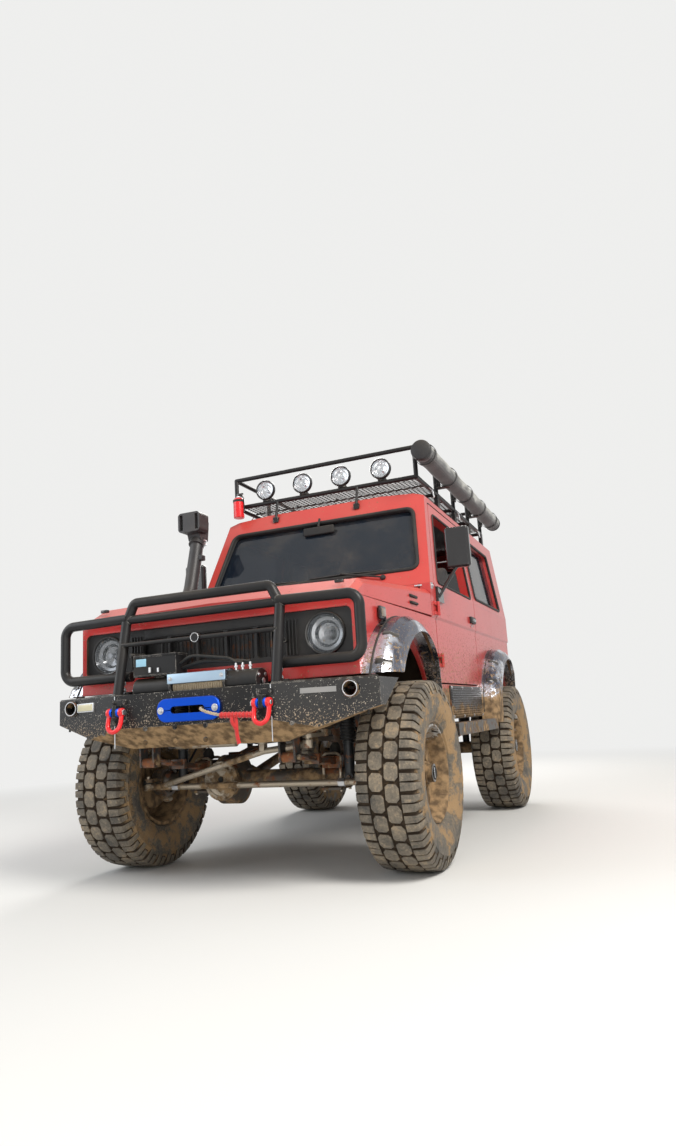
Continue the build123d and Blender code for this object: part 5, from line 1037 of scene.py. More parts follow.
def brakes():
    """Callipers and kingpin caps on the knuckles, and brake hoses."""
    for side, name in SIDES:
        s, body = Shape("axle_steel"), "knuckle_" + name
        x = side * HUB_X
        s.block((x - side * 64, x - side * 14), (84, 132), (348, 438), 8, 3)
        s.use("frame_steel").block((x - side * 70, x - side * 60), (90, 126), (360, 426), 4)
        s.use("rod_steel").ball((side * 570, 0, 480), 26, 0.7)
        s.ball((side * 570, 0, 308), 24, 0.6)
        s.done("brake_caliper_" + name, body)
        hose = Shape("rubber").tube([(side * 372, 40, 640), (side * 440, 84, 560), (side * 520, 120, 470),
                                     (side * 600, 118, 430), (side * 640, 108, 420)], 6, 8, 50)
        hose.use("bare").rod((side * 360, 40, 648), (side * 376, 40, 634), 9, 8)
        piece = hose.done("brake_hose_" + name, None)
        at(side * 430, 80, 560)
        at(side * 600, 110, 430)
        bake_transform(piece)


# Front: lamps, grille, bumper, winch, bull bar
def rounded_loop(half, high, radius, count):
    """Points around a rectangle with round corners, the same number for every size."""
    spots, per = [], count // 4
    for corner, (sx, sz) in enumerate(((1, 1), (-1, 1), (-1, -1), (1, -1))):
        for k in range(per):
            a = math.pi / 2 * (corner + k / (per - 1))
            spots.append((sx * (half - radius) + math.cos(a) * radius,
                          sz * (high - radius) + math.sin(a) * radius))
    return spots


def round_lamp(s, centre, radius, depth, facets=0):
    """Black ring, reflector bowl, bulb and domed glass; centre is the middle of the ring's front."""
    s.use("gloss_black").lathe([(2, radius - 10), (-4, radius - 8), (-5, radius - 3), (0, radius),
                                (depth * 0.4, radius), (depth * 0.4, radius - 9)], centre, "y", 40, True)
    s.use("powder").lathe([(depth * 0.35, radius - 3), (depth * 0.72, radius * 0.8), (depth, radius * 0.36),
                           (depth, 0)], centre, "y", 32, caps=False)
    bowl = [(1, radius - 9), (depth * 0.3, radius * 0.78), (depth * 0.36, radius * 0.62),
            (depth * 0.56, radius * 0.5), (depth * 0.6, radius * 0.34), (depth * 0.7, radius * 0.2),
            (depth * 0.7, 0)]
    s.use("bright_bowl" if facets else "reflector").lathe(bowl, centre, "y", facets or 32, caps=False)
    s.lathe([(depth * 0.22, 0), (depth * 0.22, radius * 0.13), (depth * 0.7, radius * 0.15)], centre, "y", 12,
            caps=False)
    s.use("lamp_glass").lathe([(-9, 0), (-8.6, radius * 0.3), (-7, radius * 0.6), (-2, radius * 0.84),
                               (2, radius - 9.5)], centre, "y", 40, caps=False)


def front_lamps():
    """Headlamps, the four lamps on the rack, the marker in the bumper and the side markers."""
    s = Shape("gloss_black")
    for x in (523, -523):
        round_lamp(s, (x, -492, 976), 86, 66)
    s.done("round_headlamps", slot="lamp_glass", replaces=["headlamps"])
    s = Shape("gloss_black")
    for x in (-375, -125, 125, 375):
        round_lamp(s, (x, 794, 2043), 62, 46, 14)
        s.use("powder").block((x - 22, x + 22), (800, 836), (1974, 1982), 2)
        for ear in (x - 22, x + 17):
            s.block((ear, ear + 5), (806, 830), (1978, 2004), 1)
        s.use("bare").rod((x - 26, 818, 1996), (x + 26, 818, 1996), 5, 8)
        s.use("rubber").tube([(x, 838, 2030), (x + 6, 852, 2000), (x + 30, 846, 1972)], 3, 6, 12)
    s.done("rack_spot_lamps", slot="lamp_glass", replaces=["rack_lamps"])
    s = Shape("bare")
    s.block((-614, -494), (-605, -592), (733, 771), 3, 3, ("z", -16.7))
    s.use("lens_clear").block((-608, -500), (-608, -596), (738, 766), 4, 3, ("z", -16.7))
    for side in (1, -1):
        s.use("gloss_black").block((side * 672, side * 686), (-277, -209), (1036, 1092), 5, 3)
        s.use("side_lens").block((side * 682, side * 690), (-266, -220), (1046, 1082), 3)
    s.done("marker_lenses", slot="lens_amber", replaces=["marker_lamps"])


def grille_parts():
    """Radiator behind the slots, a plain ring on the grille, the bar, and black panels beside the radiator
    that stand in for the shade behind the grille.
    """
    fin = Shape("interior").block((-262, 262), (-461, -456), (0, 1.2))
    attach(repeated("radiator_fins", fin, "interior", 52, (0, 0, 5.6), place=(0, 0, 766)), "vehicle")
    pipe = Shape("interior").block((-2, 2), (-460, -455), (764, 1058))
    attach(repeated("radiator_tubes", pipe, "interior", 27, (20, 0, 0), place=(-260, 0, 0)), "vehicle")
    s = Shape("powder")
    s.lathe([(0, 0), (0, 18), (3, 20), (9, 20), (12, 17), (12, 0)], (0, -610, 1000), "y", 32)
    s.use("bare").lathe([(0, 17), (-1, 18.5), (0, 20)], (0, -610, 1000), "y", 32, True)
    s.use("trim").block((-330, 330), (-489, -481), (1034, 1070), 2)
    # Black panels beside the radiator: painted shade behind the grille.
    for side in (1, -1):
        s.block((side * 274, side * 440), (-440, -434), (862, 1080), 2)
    s.done("grille_boss")


def winch_parts():
    """Rope windings, drum flanges, ribs, the control box's lid and label, plated bar, cables, bolts."""
    drum = (0, DRUM_Y, DRUM_Z)
    coil = Shape("rope").lathe([(u, 41 + v) for u, v in circle(8, 5.2)], drum, "x", 28, True)
    winding = repeated("drum_winding", coil, "rope", 23, (10.4, 0, 0), (-89, 0, 0), (0.4, 0.5, 0.5), 4)
    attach(winding, "vehicle")
    s = Shape("powder")
    for x, left, right in ((-104, 58, 57), (144, 57, 58)):
        s.lathe([(0, left), (3, 60), (8, 60), (11, right)], (x, DRUM_Y, DRUM_Z), "x", 40)
    for u, v in circle(8, 47):
        s.block((158, 282), (DRUM_Y + u, DRUM_Y + u + 4), (DRUM_Z + v, DRUM_Z + v + 4), 1)
    s.block((-286, -77), (-631, -545), (936, 947), 5, 3).block((-283, -80), (-630, -600), (858, 866), 3)
    s.use("sticker").block((-272, -222), (-629.6, -628.2), (900, 931), 0.5)
    s.use("tie_bar").block((-108, 160), (-650, -636), (818, 858), 4, 3)
    s.block((-106, 158), (-638, -560), (854, 859), 2)
    s.use("bare")
    for x, top, radius in ((-200, 894, 6), (-160, 890, 5)):
        s.rod((x, -634, 872), (x, -634, top), radius, 12)
    for x in (176, 206, 240):
        s.rod((x, DRUM_Y, 852), (x, DRUM_Y, 884), 5, 8)
        s.lathe([(0, 0), (0, 8), (6, 8), (6, 0)], (x, DRUM_Y, 866), "z", 6)
    s.rod((292, DRUM_Y, DRUM_Z), (298, DRUM_Y, DRUM_Z), 12, 6)
    s.use("rubber")
    for cable in (
            [(-80, -600, 900), (-20, -610, 930), (60, -600, 918), (150, -596, 905), (176, DRUM_Y, 886)],
            [(-80, -584, 884), (20, -590, 906), (120, -586, 896), (206, DRUM_Y, 884)],
            [(-80, -572, 880), (0, -568, 900), (140, -566, 900), (240, DRUM_Y, 886)]):
        s.tube(cable, 6, 8, 60)
    s.done("winch_dress", slot="winch_black")
    spots = [((-285.5, DRUM_Y + u, DRUM_Z + v), (-1, 0, 0)) for u, v in circle(6, 38)]
    spots += [((290, DRUM_Y + math.cos(a) * 36, DRUM_Z + math.sin(a) * 36), (1, 0, 0))
              for a in (0.8, 2.4, 3.9, 5.5)]
    spots += [((x, -650, 838), (0, -1, 0)) for x in (-92, 144)]
    bolts("winch_bolts", spots, 6, 4)
    bolts("fairlead_bolts", [((x, -672.5, FAIRLEAD_Z), (0, -1, 0)) for x in (-124, 124)], 9.5, 8)


def fairlead_plate():
    """A plate with round ends and a slot: loops over its rim and its face, then back through the slot."""
    loops = [(145, 46, 42, -656.5), (145, 46, 42, -668), (142, 43, 42, -671.5),
             (79, 14, 16, -672), (82, 17, 16, -666), (82, 17, 16, -656.5)]
    points, faces, count = [], [], 28
    for n, (half, high, radius, y) in enumerate(loops):
        points += [at(x, y, FAIRLEAD_Z + z) for x, z in rounded_loop(half, high, radius, count)]
        one, other = n * count, (n + 1) % len(loops) * count
        faces += [(one + k, one + (k + 1) % count, other + (k + 1) % count, other + k) for k in range(count)]
    plate = Shape("blue_metal").add(points, faces)
    plate.done("fairlead_plate", slot="fairlead_blue", replaces=["fairlead"])


def shackles():
    """Two bow shackles with pins and washers, on the bumper's lugs."""
    for side, name in SIDES:
        s = Shape("powder")
        x, y, z = side * 334, -676.3, 720
        s.block((x - 10, x + 10), (y - 20, y + 20), (z - 22, z + 30), 6, 3)
        s.use("bare").rod((x - 40, y - 6, z), (x + 40, y - 6, z), 9, 20)
        s.lathe([(0, 12), (3, 13), (6, 12)], (x - side * 41 - 3, y - 6, z), "x", 6)
        ring = [(0, 11), (0, 17), (2, 19), (8, 19), (10, 17), (10, 11)]
        eye = [(-9, 9.5), (-9, 16), (-6, 18), (6, 18), (9, 16), (9, 9.5)]
        for way in (1, -1):
            s.use("blue_metal").lathe(ring, (x + way * 15.5 - 5, y - 6, z), "x", 28, True)
            s.use("red_gloss").lathe(eye, (x + way * 29, y - 6, z), "x", 24, True)
        arm = [(30, -8, -12), (32, -14, -40), (28, -22, -70), (0, -26, -88), (-28, -22, -70), (-32, -14, -40),
               (-30, -8, -12)]
        s.tube([(x + a, y + b, z + c * 0.92) for a, b, c in arm], 9, 16, 26, steps=6)
        s.done("bow_shackle_" + name, slot="shackle_red", replaces=["recovery_shackles"])


def rope_parts():
    """The taut winch rope: three twisted strands, spliced into a red strap that is wrapped on the shackle."""
    line = route([(44, -616, 714), (52, -650, 718), (66, -686, 712), (110, -690, 694), (170, -692, 682)])
    s = Shape("rope")
    ways = [(line[min(i + 1, len(line) - 1)] - line[max(i - 1, 0)]).normalized() for i in range(len(line))]
    for strand in range(3):
        path, length = [], 0.0
        for i, spot in enumerate(line):
            length += (spot - line[i - 1]).length if i else 0.0
            turn = strand * 2.094 + length * 0.16
            one = ways[i].orthogonal().normalized()
            path.append(spot + (one * math.cos(turn) + ways[i].cross(one) * math.sin(turn)) * 3.1)
        s.tube(path, 3.2, 6)
    s.use("strap_red")
    for k in range(9):
        x, z = 166 + k * 15.5, 683 - k * 0.6
        turn = [(x + v * 1.5, -692 + u * 8.6, z + v * 8.6) for u, v in circle(8, 1.0)]
        s.tube(turn, 3.6, 6, closed=True, flat=2.1, normal=(1, 0, 0))
    s.tube([(160, -692, 684), (230, -692, 677), (298, -692, 680)], 8, 8, 30)
    tail = [(226, -694, 678), (232, -700, 640), (230, -694, 605), (238, -694, 574)]
    s.tube(tail, 3.2, 8, 30, flat=2.6, normal=(1, 0, 0))
    tail = [(212, -697, 680), (214, -703, 655), (224, -700, 640), (228, -697, 628)]
    s.tube(tail, 2.8, 8, 18, flat=2.6, normal=(1, 0, 0))
    s.done("winch_rope_strands", slot="rope_tan", replaces=["winch_rope"])


def bumper_parts():
    """Rings in the wings' holes, seams, blank strip, shackle plates, top bars, bolts, bar feet."""
    s = Shape("bare")
    for side in (1, -1):
        hole, rim = (side * 650, -587, 752), [(0, 25.6), (0, 31), (2, 33), (8, 33), (8, 25.6)]
        s.use("frame_steel").lathe(rim, hole, "y", 40, True)
        s.use("bare").lathe([(-0.6, 27), (-0.6, 30), (1, 30), (1, 27)], hole, "y", 40, True)
        s.tube([(side * 359, FACE_Y - 0.4, 576), (side * 359, FACE_Y - 0.4, 786)], 2.2, 6)
    s.use("blank_plate")
    low, high = (466, wing_y(466) - 0.4), (596, wing_y(596) - 0.4)
    s.prism([(low[0], low[1], 744), (high[0], high[1], 744), (high[0], high[1], 764), (low[0], low[1], 764)],
            (-0.6, -1.8, 0))
    s.use("powder")
    for side in (1, -1):
        s.block((side * 300, side * 368), (FACE_Y - 3, FACE_Y + 1), (668, 772), 2)
        s.tube([(side * x, wing_y(x) + 6, 790) for x in (360, 480, 620, 745)], 6, 8)
    s.done("bumper_dress", slot="bumper_black")
    spots = [((x, FACE_Y - 0.5, z), (0, -1, 0)) for x in (-210, -70, 70, 210) for z in (596, 650)]
    spots += [((side * x, FACE_Y - 3.5, z), (0, -1, 0))
              for side in (1, -1) for x in (308, 360) for z in (680, 760)]
    spots += [((side * 430, wing_y(430) - 0.5, 640), (side * 0.28, -0.96, 0)) for side in (1, -1)]
    bolts("bumper_bolts", spots, 7, 5, "powder")
    foot_x = 368
    spots = [((side * foot_x, -585, z), (0, -1, 0)) for side in (1, -1) for z in (812, 842)]
    bolts("bull_bar_bolts", spots, 8, 6, "bare")
    s = Shape("powder")
    for side in (1, -1):
        s.block((side * (foot_x - 16), side * (foot_x + 16)), (-584, -538), (788, 796), 3)
        s.tube([(side * foot_x, -561, z) for z in (792, 806)], 25, 20)
        s.tube([(side * foot_x, -540, 960), (side * 352, -500, 962), (side * 340, -478, 962)], 9, 8, 16)
    s.done("bull_bar_feet", slot="black_steel")


# Body: seals, wipers, mirrors, handles, flares
def window_seals():
    """Seals of the windows; on the doors also handles, locks, mirrors and hinge bolts."""
    s = Shape("rubber")
    screen = [(618, 1391), (564, 1761), (-564, 1761), (-618, 1391)]
    s.tube([(x * 1.004, screen_y(z) - 2, z + (4 if z > 1500 else -4)) for x, z in screen], 11, 10, 50, True)
    s.tube([(x * 0.99, screen_y(z) + 10, z + (-3 if z > 1500 else 3)) for x, z in screen], 6, 8, 46, True)
    s.done("windscreen_seal")
    s = Shape("rubber")
    for side in (1, -1):
        s.tube([(side * (side_x(z) + 1.0), y, z) for y, z in REAR_WINDOW], 9, 8, 30, True)
    s.done("rear_window_seals")
    for side, name in SIDES:
        s, body = Shape("rubber"), "door_" + name
        s.tube([(side * (side_x(z) + 0.5), y, z) for y, z in DOOR_WINDOW], 6.5, 8, 32, True)
        s.tube([(side * (side_x(1316) - 6), y, 1314) for y in (680, 1432)], 8, 8)
        s.use("trim").block((side * 690, side * 707), (1346, 1462), (1160, 1200), 6, 3)
        s.use("gloss_black").block((side * 705, side * 710), (1356, 1452), (1171, 1189), 2)
        lock = [(0, 0), (0, 7), (3, 7), (4, 4), (4, 0)]
        s.use("bare").lathe(lock, (side * 694, 1376, 1142), (side, 0, 0), 16)
        s.use("gloss_black").block((side * 750, side * 874), (690, 704), (1390, 1598), 9, 3)
        s.use("mirror").block((side * 758, side * 866), (703, 705.5), (1400, 1588), 1)
        s.done("door_trim_" + name, body)
        spots = [((side * 697, y, z + dz), (side, 0, 0)) for z in (900, 1168) for dz in (-9, 9)
                 for y in (612, 628)]
        bolts("door_hinge_bolts_" + name, spots, 5, 3, "paint", body)
        spots = [((side * 696, y, z), (side, 0, 0)) for z in (1218, 1274) for y in (614, 700)]
        bolts("mirror_bolts_" + name, spots, 5, 4, "gloss_black", body)


def wipers():
    """Two wiper arms with blades, and the washer jets on the bonnet."""
    s, pivot_z = Shape("trim"), 1356
    for pivot, tip in ((430, -10), (-70, -500)):
        s.use("trim").lathe([(0, 14), (4, 16), (14, 13), (18, 0)], (pivot, screen_y(pivot_z) + 2, pivot_z),
                            (0, -0.89, 0.45), 16)
        base = (pivot, screen_y(pivot_z) - 14, pivot_z + 4)
        elbow = (pivot - 60, screen_y(1372) - 16, 1372)
        grip = ((pivot + tip) / 2 - 30, screen_y(1412) - 8, 1412)
        s.tube([base, elbow, grip], 5, 6, 20)
        blade = [(pivot - 20, screen_y(1402) + 6, 1402), ((pivot + tip) / 2, screen_y(1410) + 4, 1410),
                 (tip, screen_y(1406) + 6, 1406)]
        s.tube(blade, 4.5, 6, 60)
        s.use("rubber").tube([(x, y + 8, z - 3) for x, y, z in blade], 3.5, 4, 60)
    s.done("wipers")
    s = Shape("gloss_black")
    for x in (-250, 250):
        s.lathe([(0, 0), (0, 9), (6, 7), (8, 0)], (x, 455, 1268), (0, 0, 1), 12)
    s.done("washer_jets", "bonnet")


def snorkel_parts():
    """Mesh in the snorkel's head, two bands, brackets, and the flange on the wing."""
    for name, size, count, step, place in (
            ("upright", ((-1.2, 1.2), (511, 514), (1788, 1878)), 13, (9.6, 0, 0), (-795.6, 0, 0)),
            ("level", ((-800, -676), (514, 516), (-1, 1)), 10, (0, 0, 9.6), (0, 0, 1790))):
        bar = Shape("snorkel").block(*size)
        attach(repeated("snorkel_mesh_" + name, bar, "snorkel", count, step, place=place), "vehicle")
    s = Shape("bare")
    for z in (1712, 1732):
        s.lathe([(0, 46.5), (0, 48), (7, 48), (7, 46.5)], (-738, 600, z - 3), "z", 40, True)
    s.block((-790, -772), (590, 606), (1706, 1722), 2)
    s.use("snorkel")
    s.block((-716, -680), (538, 582), (1604, 1636), 5, 3)
    s.lathe([(0, 52), (0, 60), (10, 62), (14, 52)], (-690, 330, 1064), (-1, 0, 0), 32)
    s.done("snorkel_fittings", slot="trim_black")


def bonnet_parts():
    """Dark strips on the bonnet's sides, blocks at its front, brackets at the windscreen's foot."""
    s = Shape("rubber")
    for side in (1, -1):
        for z in (1158, 1190):
            inner, outer = (665, 690) if z == 1158 else (662, 688)
            s.use("rubber").block((side * inner, side * outer), (172, 278), (z - 5.5, z + 5.5), 4, 2)
        s.use("gloss_black").block((side * 560, side * 596), (-455, -437), (1176, 1190), 3)
    s.done("bonnet_trim", "bonnet")
    s = Shape("bare")
    for side in (1, -1):
        s.block((side * 640, side * 694), (520, 556), (1266, 1300), 4, 2)
        s.block((side * 610, side * 650), (500, 540), (1282, 1290), 2, 2)
    s.done("screen_frame_brackets")
    spots = [((side * 695, y, 1283), (side, 0, 0)) for side in (1, -1) for y in (530, 546)]
    bolts("bracket_bolts", spots, 6, 4, "bare")


def arc_points(centre, radius, x, start, end, count):
    """Places along an arch; angles in degrees from the rear, through the top."""
    spots = []
    for k in range(count):
        a = math.radians(start + (end - start) * k / (count - 1))
        spots.append((x, centre[0] + math.cos(a) * radius, centre[1] + math.sin(a) * radius))
    return spots


def flare_parts():
    """Rubber seals behind the flares, and black fills in the pockets of their plating, which stand in for the
    shade in those recesses.
    """
    s = Shape("rubber")
    for side in (1, -1):
        for centre, start in zip(ARCHES, (6, 8)):
            s.tube(arc_points(centre, 470, side * 698, start, 172, 25), 5, 6)
    # Black fills in the flares' pockets: painted shade in the recesses.
    s.use("gloss_black")
    pocket = [(712, 474), (742, 468), (774, 447), (774, 430), (742, 452), (712, 460)]
    for side in (1, -1):
        for y, z in ARCHES:
            for a in (math.radians(34), math.radians(54)):
                out, along = Vector((0, -math.cos(a), math.sin(a))), Vector((0, math.sin(a), math.cos(a)))
                outline = [Vector((side * x, y, z)) + out * r - along * 13 for x, r in pocket]
                s.prism(outline, along * 24, 2)
    s.done("flare_seals")


def slider_parts():
    """Ribbed guards on the sills, with their bolts."""
    for side, name in SIDES:
        s = Shape("plate_rib")
        s.block((side * 690, side * 694.5), (742, 1476), (606, 774), 2)
        s.done("sill_guard_" + name, slot="slider_steel")
        rib = Shape("plate_rib").tube([(0, 750, 0), (0, 1468, 0)], 4.2, 6)
        piece = repeated("sill_ribs_" + name, rib, "plate_rib", 13, (0, 0, 12.4), place=(side * 694, 0, 616))
        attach(piece, "vehicle")
    spots = [((side * 695, y, z), (side, 0, 0))
             for side in (1, -1) for y in (756, 990, 1226, 1462) for z in (614, 766)]
    bolts("sill_bolts", spots, 6, 4, "bare")


# Roof
def rack_parts():
    """Expanded steel mesh in the rack's floor, made of paired zigzag strands, with its bars and bolts."""
    strand = Shape("powder")
    cells, half, step = 22, 567, 14.0
    pitch = 2.0 * half / cells
    for flip in (1, -1):
        path = [(-half + k * pitch / 2, (flip > 0) * step + flip * (step / 2 if k % 2 else -step / 2), 1975)
                for k in range(cells * 2 + 1)]
        strand.tube(path, 2.1, 4)
    mesh = repeated("rack_floor_mesh", strand, "powder", 59, (0, 2 * step, 0), place=(0, 829, 0), smooth=30)
    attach(mesh, "vehicle")
    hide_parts("rack_deck")
    s = Shape("powder")
    for y in (1033, 1240, 1455, 1670, 1877, 2085, 2292):
        s.block((-568, 568), (y - 9, y + 9), (1966, 1972), 2)
    s.use("bare")
    for side in (1, -1):
        for y in (1033, 1670, 2292):
            s.tube([(side * 590, y, 1955), (side * 612, y, 1934), (side * 618, y, 1888)], 5, 8, 12)
    s.done("rack_cross_bars", slot="black_steel")
    spots = [((x, y, 1977), (0, 0, 1)) for x in (-540, -270, 0, 270, 540) for y in (1033, 1455, 1877, 2292)]
    bolts("rack_bolts", spots, 6, 4, "powder")


def red_bottle():
    """The fire extinguisher: bottle, neck, grip, hose and clamp band."""
    s = Shape("red_gloss")
    x, y = -544, 762
    s.lathe([(0, 0), (0, 30), (3, 33), (116, 33), (127, 24), (131, 12), (131, 0)], (x, y, 1882), "z", 32)
    s.use("bare").lathe([(0, 0), (0, 12), (10, 12), (12, 9), (24, 9), (24, 0)], (x, y, 2010), "z", 16)
    s.use("gloss_black").block((x - 8, x + 26), (y - 9, y + 9), (2020, 2036), 4)
    s.block((x - 6, x + 34), (y - 6, y + 6), (2030, 2038), 2)
    s.tube([(x + 12, y, 2024), (x + 36, y, 2010), (x + 38, y, 1960), (x + 34, y, 1910)], 4, 8, 22)
    s.use("webbing").lathe([(0, 33.2), (0, 34.8), (14, 34.8), (14, 33.2)], (x, y, 1982), "z", 32, True)
    s.done("red_bottle", slot="extinguisher_red", replaces=["extinguisher"])


# Soft goods
def swell(obj, voxel, travel):
    """Fill a sewn cover: a cloth simulation under inner pressure, with each point's travel capped."""
    frames = 20
    remesh = obj.modifiers.new("even", "REMESH")
    remesh.mode, remesh.voxel_size = "VOXEL", voxel
    ready = obj.evaluated_get(bpy.context.evaluated_depsgraph_get())
    mesh = bpy.data.meshes.new_from_object(ready)
    obj.modifiers.remove(remesh)
    finish = obj.data.materials[0]
    obj.data = mesh
    before = [v.co.copy() for v in mesh.vertices]
    cloth_modifier = obj.modifiers.new("cover", "CLOTH")
    settings = cloth_modifier.settings
    settings.use_pressure, settings.uniform_pressure_force = True, 4.0
    settings.effector_weights.gravity = 0.0
    settings.quality = 4
    cloth_modifier.point_cache.frame_start, cloth_modifier.point_cache.frame_end = 1, frames
    scene = bpy.context.scene
    for number in range(1, frames + 1):
        scene.frame_set(number)
    ready = obj.evaluated_get(bpy.context.evaluated_depsgraph_get())
    filled = bpy.data.meshes.new_from_object(ready)
    obj.modifiers.remove(cloth_modifier)
    scene.frame_set(1)
    for vertex, start in zip(filled.vertices, before):
        shift = vertex.co - start
        if shift.length > travel:
            vertex.co = start + shift * (travel / shift.length)
    obj.data = filled
    if not obj.data.materials:
        obj.data.materials.append(finish)
    for face in obj.data.polygons:
        face.use_smooth = True


def stitch(obj, seams, depth, width):
    """Press seams into a filled cover; each is (axis, place in metres)."""
    mesh = obj.data
    normals = [vertex.normal.copy() for vertex in mesh.vertices]
    for vertex, normal in zip(mesh.vertices, normals):
        pressed = (math.exp(-((vertex.co[axis] - place) / width) ** 2) for axis, place in seams)
        vertex.co -= normal * depth * max(pressed, default=0.0)


def padded_piece(name, shape, seams, slot, voxel=0.009, travel=0.012, depth=0.007):
    """A filled and sewn piece; the sizes are in metres."""
    obj = shape.done(name, slot=slot)
    swell(obj, voxel, travel)
    stitch(obj, seams, depth, 0.007)
    return obj


def seats():
    """Two front seats with head rests on their frames, and the rear bench."""
    for side, name in SIDES:
        x = side * 330
        cushion = Shape("seat_cloth").block((x - 228, x + 228), (938, 1422), (900, 1022), 40, 4)
        back = [(1328, 1028), (1422, 1028), (1560, 1545), (1476, 1562)]
        rest = Shape("seat_cloth").prism([(x - 218, y, z) for y, z in back], (436, 0, 0), 34, 4)
        head = [(1484, 1556), (1556, 1546), (1582, 1692), (1514, 1702)]
        pillow = Shape("seat_cloth").prism([(x - 114, y, z) for y, z in head], (228, 0, 0), 28, 4)
        lines = [(0, (x - 130) / 1000), (0, (x + 130) / 1000)]
        across = [(1, at(0, 1090, 0).y), (1, at(0, 1260, 0).y)]
        one = padded_piece("seat_cushion_" + name, cushion, lines + across, "seat_cloth")
        padded_piece("seat_back_" + name, rest, lines + [(2, 1.20), (2, 1.38)], "seat_cloth")
        padded_piece("head_rest_" + name, pillow, [], "seat_cloth", travel=0.008)
        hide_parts("seats")
        s = Shape("interior").block((x - 190, x + 190), (960, 1400), (712, 890), 6)
        s.use("bare")
        for way in (1, -1):
            s.rod((x + way * 60, 1500, 1520), (x + way * 60, 1540, 1600), 6, 8)
            s.block((x + way * 150 - 9, x + way * 150 + 9), (900, 1440), (704, 714), 2)
        s.use("interior").block((x + side * 232, x + side * 246), (1290, 1440), (900, 1060), 12, 3)
        s.done("seat_frame_" + name, slot="seat_cloth")
    bench = Shape("seat_cloth").block((-392, 392), (1978, 2392), (760, 1012), 50, 4)
    lines = [(0, 0.0), (0, -0.2), (0, 0.2)]
    padded_piece("bench_cushion", bench, lines, "seat_cloth", 0.011)
    back = [(2318, 1018), (2392, 1018), (2462, 1462), (2398, 1472)]
    rest = Shape("seat_cloth").prism([(-392, y, z) for y, z in back], (784, 0, 0), 26, 4)
    padded_piece("bench_back", rest, lines, "seat_cloth", 0.011)


def awning_bag():
    """The rolled awning in its bag: sewn cover over a roll, end caps, five straps and two rack brackets."""
    x, z, first, last = 660, 2060, 662, 2638
    cover = Shape("bag_cloth")
    long = last - first
    profile = [(0, 0), (0, 40), (10, 52), (30, 55)]
    profile += [(k * 86 + 60, 55 + 1.6 * math.sin(k * 2.1)) for k in range(22)]
    profile += [(long - 30, 55), (long - 10, 52), (long, 40), (long, 0)]
    cover.lathe(profile, (x, first, z), "y", 32)
    seams = [(1, at(0, y, 0).y) for y in (722, 2578)]
    bag = padded_piece("awning_bag", cover, seams, "bag_cloth", 0.007, 0.006, 0.004)
    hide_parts("awning")
    s = Shape("webbing")
    for y in (760, 1240, 1670, 2085, 2500):
        s.lathe([(-16, 60), (-15, 62.3), (15, 62.3), (16, 60)], (x, y, z), "y", 36, True)
        s.use("trim").block((x - 18, x + 18), (y - 20, y + 20), (z + 57, z + 65), 3, 2)
        s.use("webbing")
    s.use("gloss_black").tube([(x - 46, y, z + 30) for y in (first + 6, last - 6)], 5, 6)
    for y, way in ((652, 1), (2648, -1)):
        cap = [(0, 0), (0, 50), (way * 4, 56), (way * 26, 57.5), (way * 28, 54)]
        s.use("trim").lathe(cap, (x, y, z), "y", 36)
    s.use("powder")
    for y in (1240, 2085):
        s.block((x - 72, x - 52), (y - 22, y + 22), (z - 60, z + 40), 3)
        s.block((x - 70, x + 10), (y - 22, y + 22), (z - 64, z - 58), 2)
    s.done("awning_straps", slot="bag_cloth")


# Cabin
def cabin_parts():
    """Steering wheel rim, stalks, dials and their hood, console, two levers, mirror and pedals."""
    s = Shape("interior")
    way = Vector((0, 1, 0.45)).normalized()
    centre = Vector((330, 895, 1235))
    one, other = Vector((1, 0, 0)), Vector((0, -way.z, way.y))
    s.tube([centre + one * u + other * v for u, v in circle(48, 185)], 16, 12, closed=True)
    s.use("gloss_black").lathe([(-12, 0), (-12, 40), (6, 52), (30, 46), (40, 30)], centre - way * 6, way, 28)
    for side in (1, -1):
        root, tip = Vector((side * 30, -60, 10)), Vector((side * 210, -50, 40))
        s.use("trim").rod(centre + root, centre + tip, 6, 8, 5)
    hood = [(60, 742, 1216), (60, 700, 1284), (60, 560, 1296), (60, 560, 1216)]
    s.use("trim").prism(hood, (540, 0, 0), 14, 3)
    s.use("interior").block((-600, -80), (700, 748), (1180, 1236), 10, 3)
    s.block((-60, 60), (640, 756), (1010, 1236), 12, 3).block((-90, 110), (760, 1300), (712, 830), 20, 3)
    for x in (232, 330, 428):
        dial = [(0, 0), (0, 34), (-6, 42), (-12, 42), (-12, 0)]
        s.use("gloss_black").lathe(dial, (x, 738, 1240), (0, -1, 0.3), 28)
        s.use("bare").lathe([(0, 41), (4, 43), (8, 41)], (x, 742, 1241), (0, -1, 0.3), 28, True)
    for x, y, top in ((0, 860, 1010), (60, 930, 950)):
        s.use("bare").rod((x, y, 800), (x, y + 20, top), 7, 10)
        s.use("gloss_black").ball((x, y + 22, top + 14), 22)
    s.use("rubber").block((-96, 96), (712, 732), (1690, 1738), 9, 3)
    s.use("mirror").block((-90, 90), (731, 733), (1695, 1733), 2)
    s.use("rubber").rod((0, 718, 1735), (0, 742, 1790), 7, 8)
    for x in (250, 330, 420):
        s.use("rubber").block((x - 26, x + 26), (600, 612), (760, 830), 4, 2, ("x", 20))
    s.done("cabin_fittings", slot="trim_black")


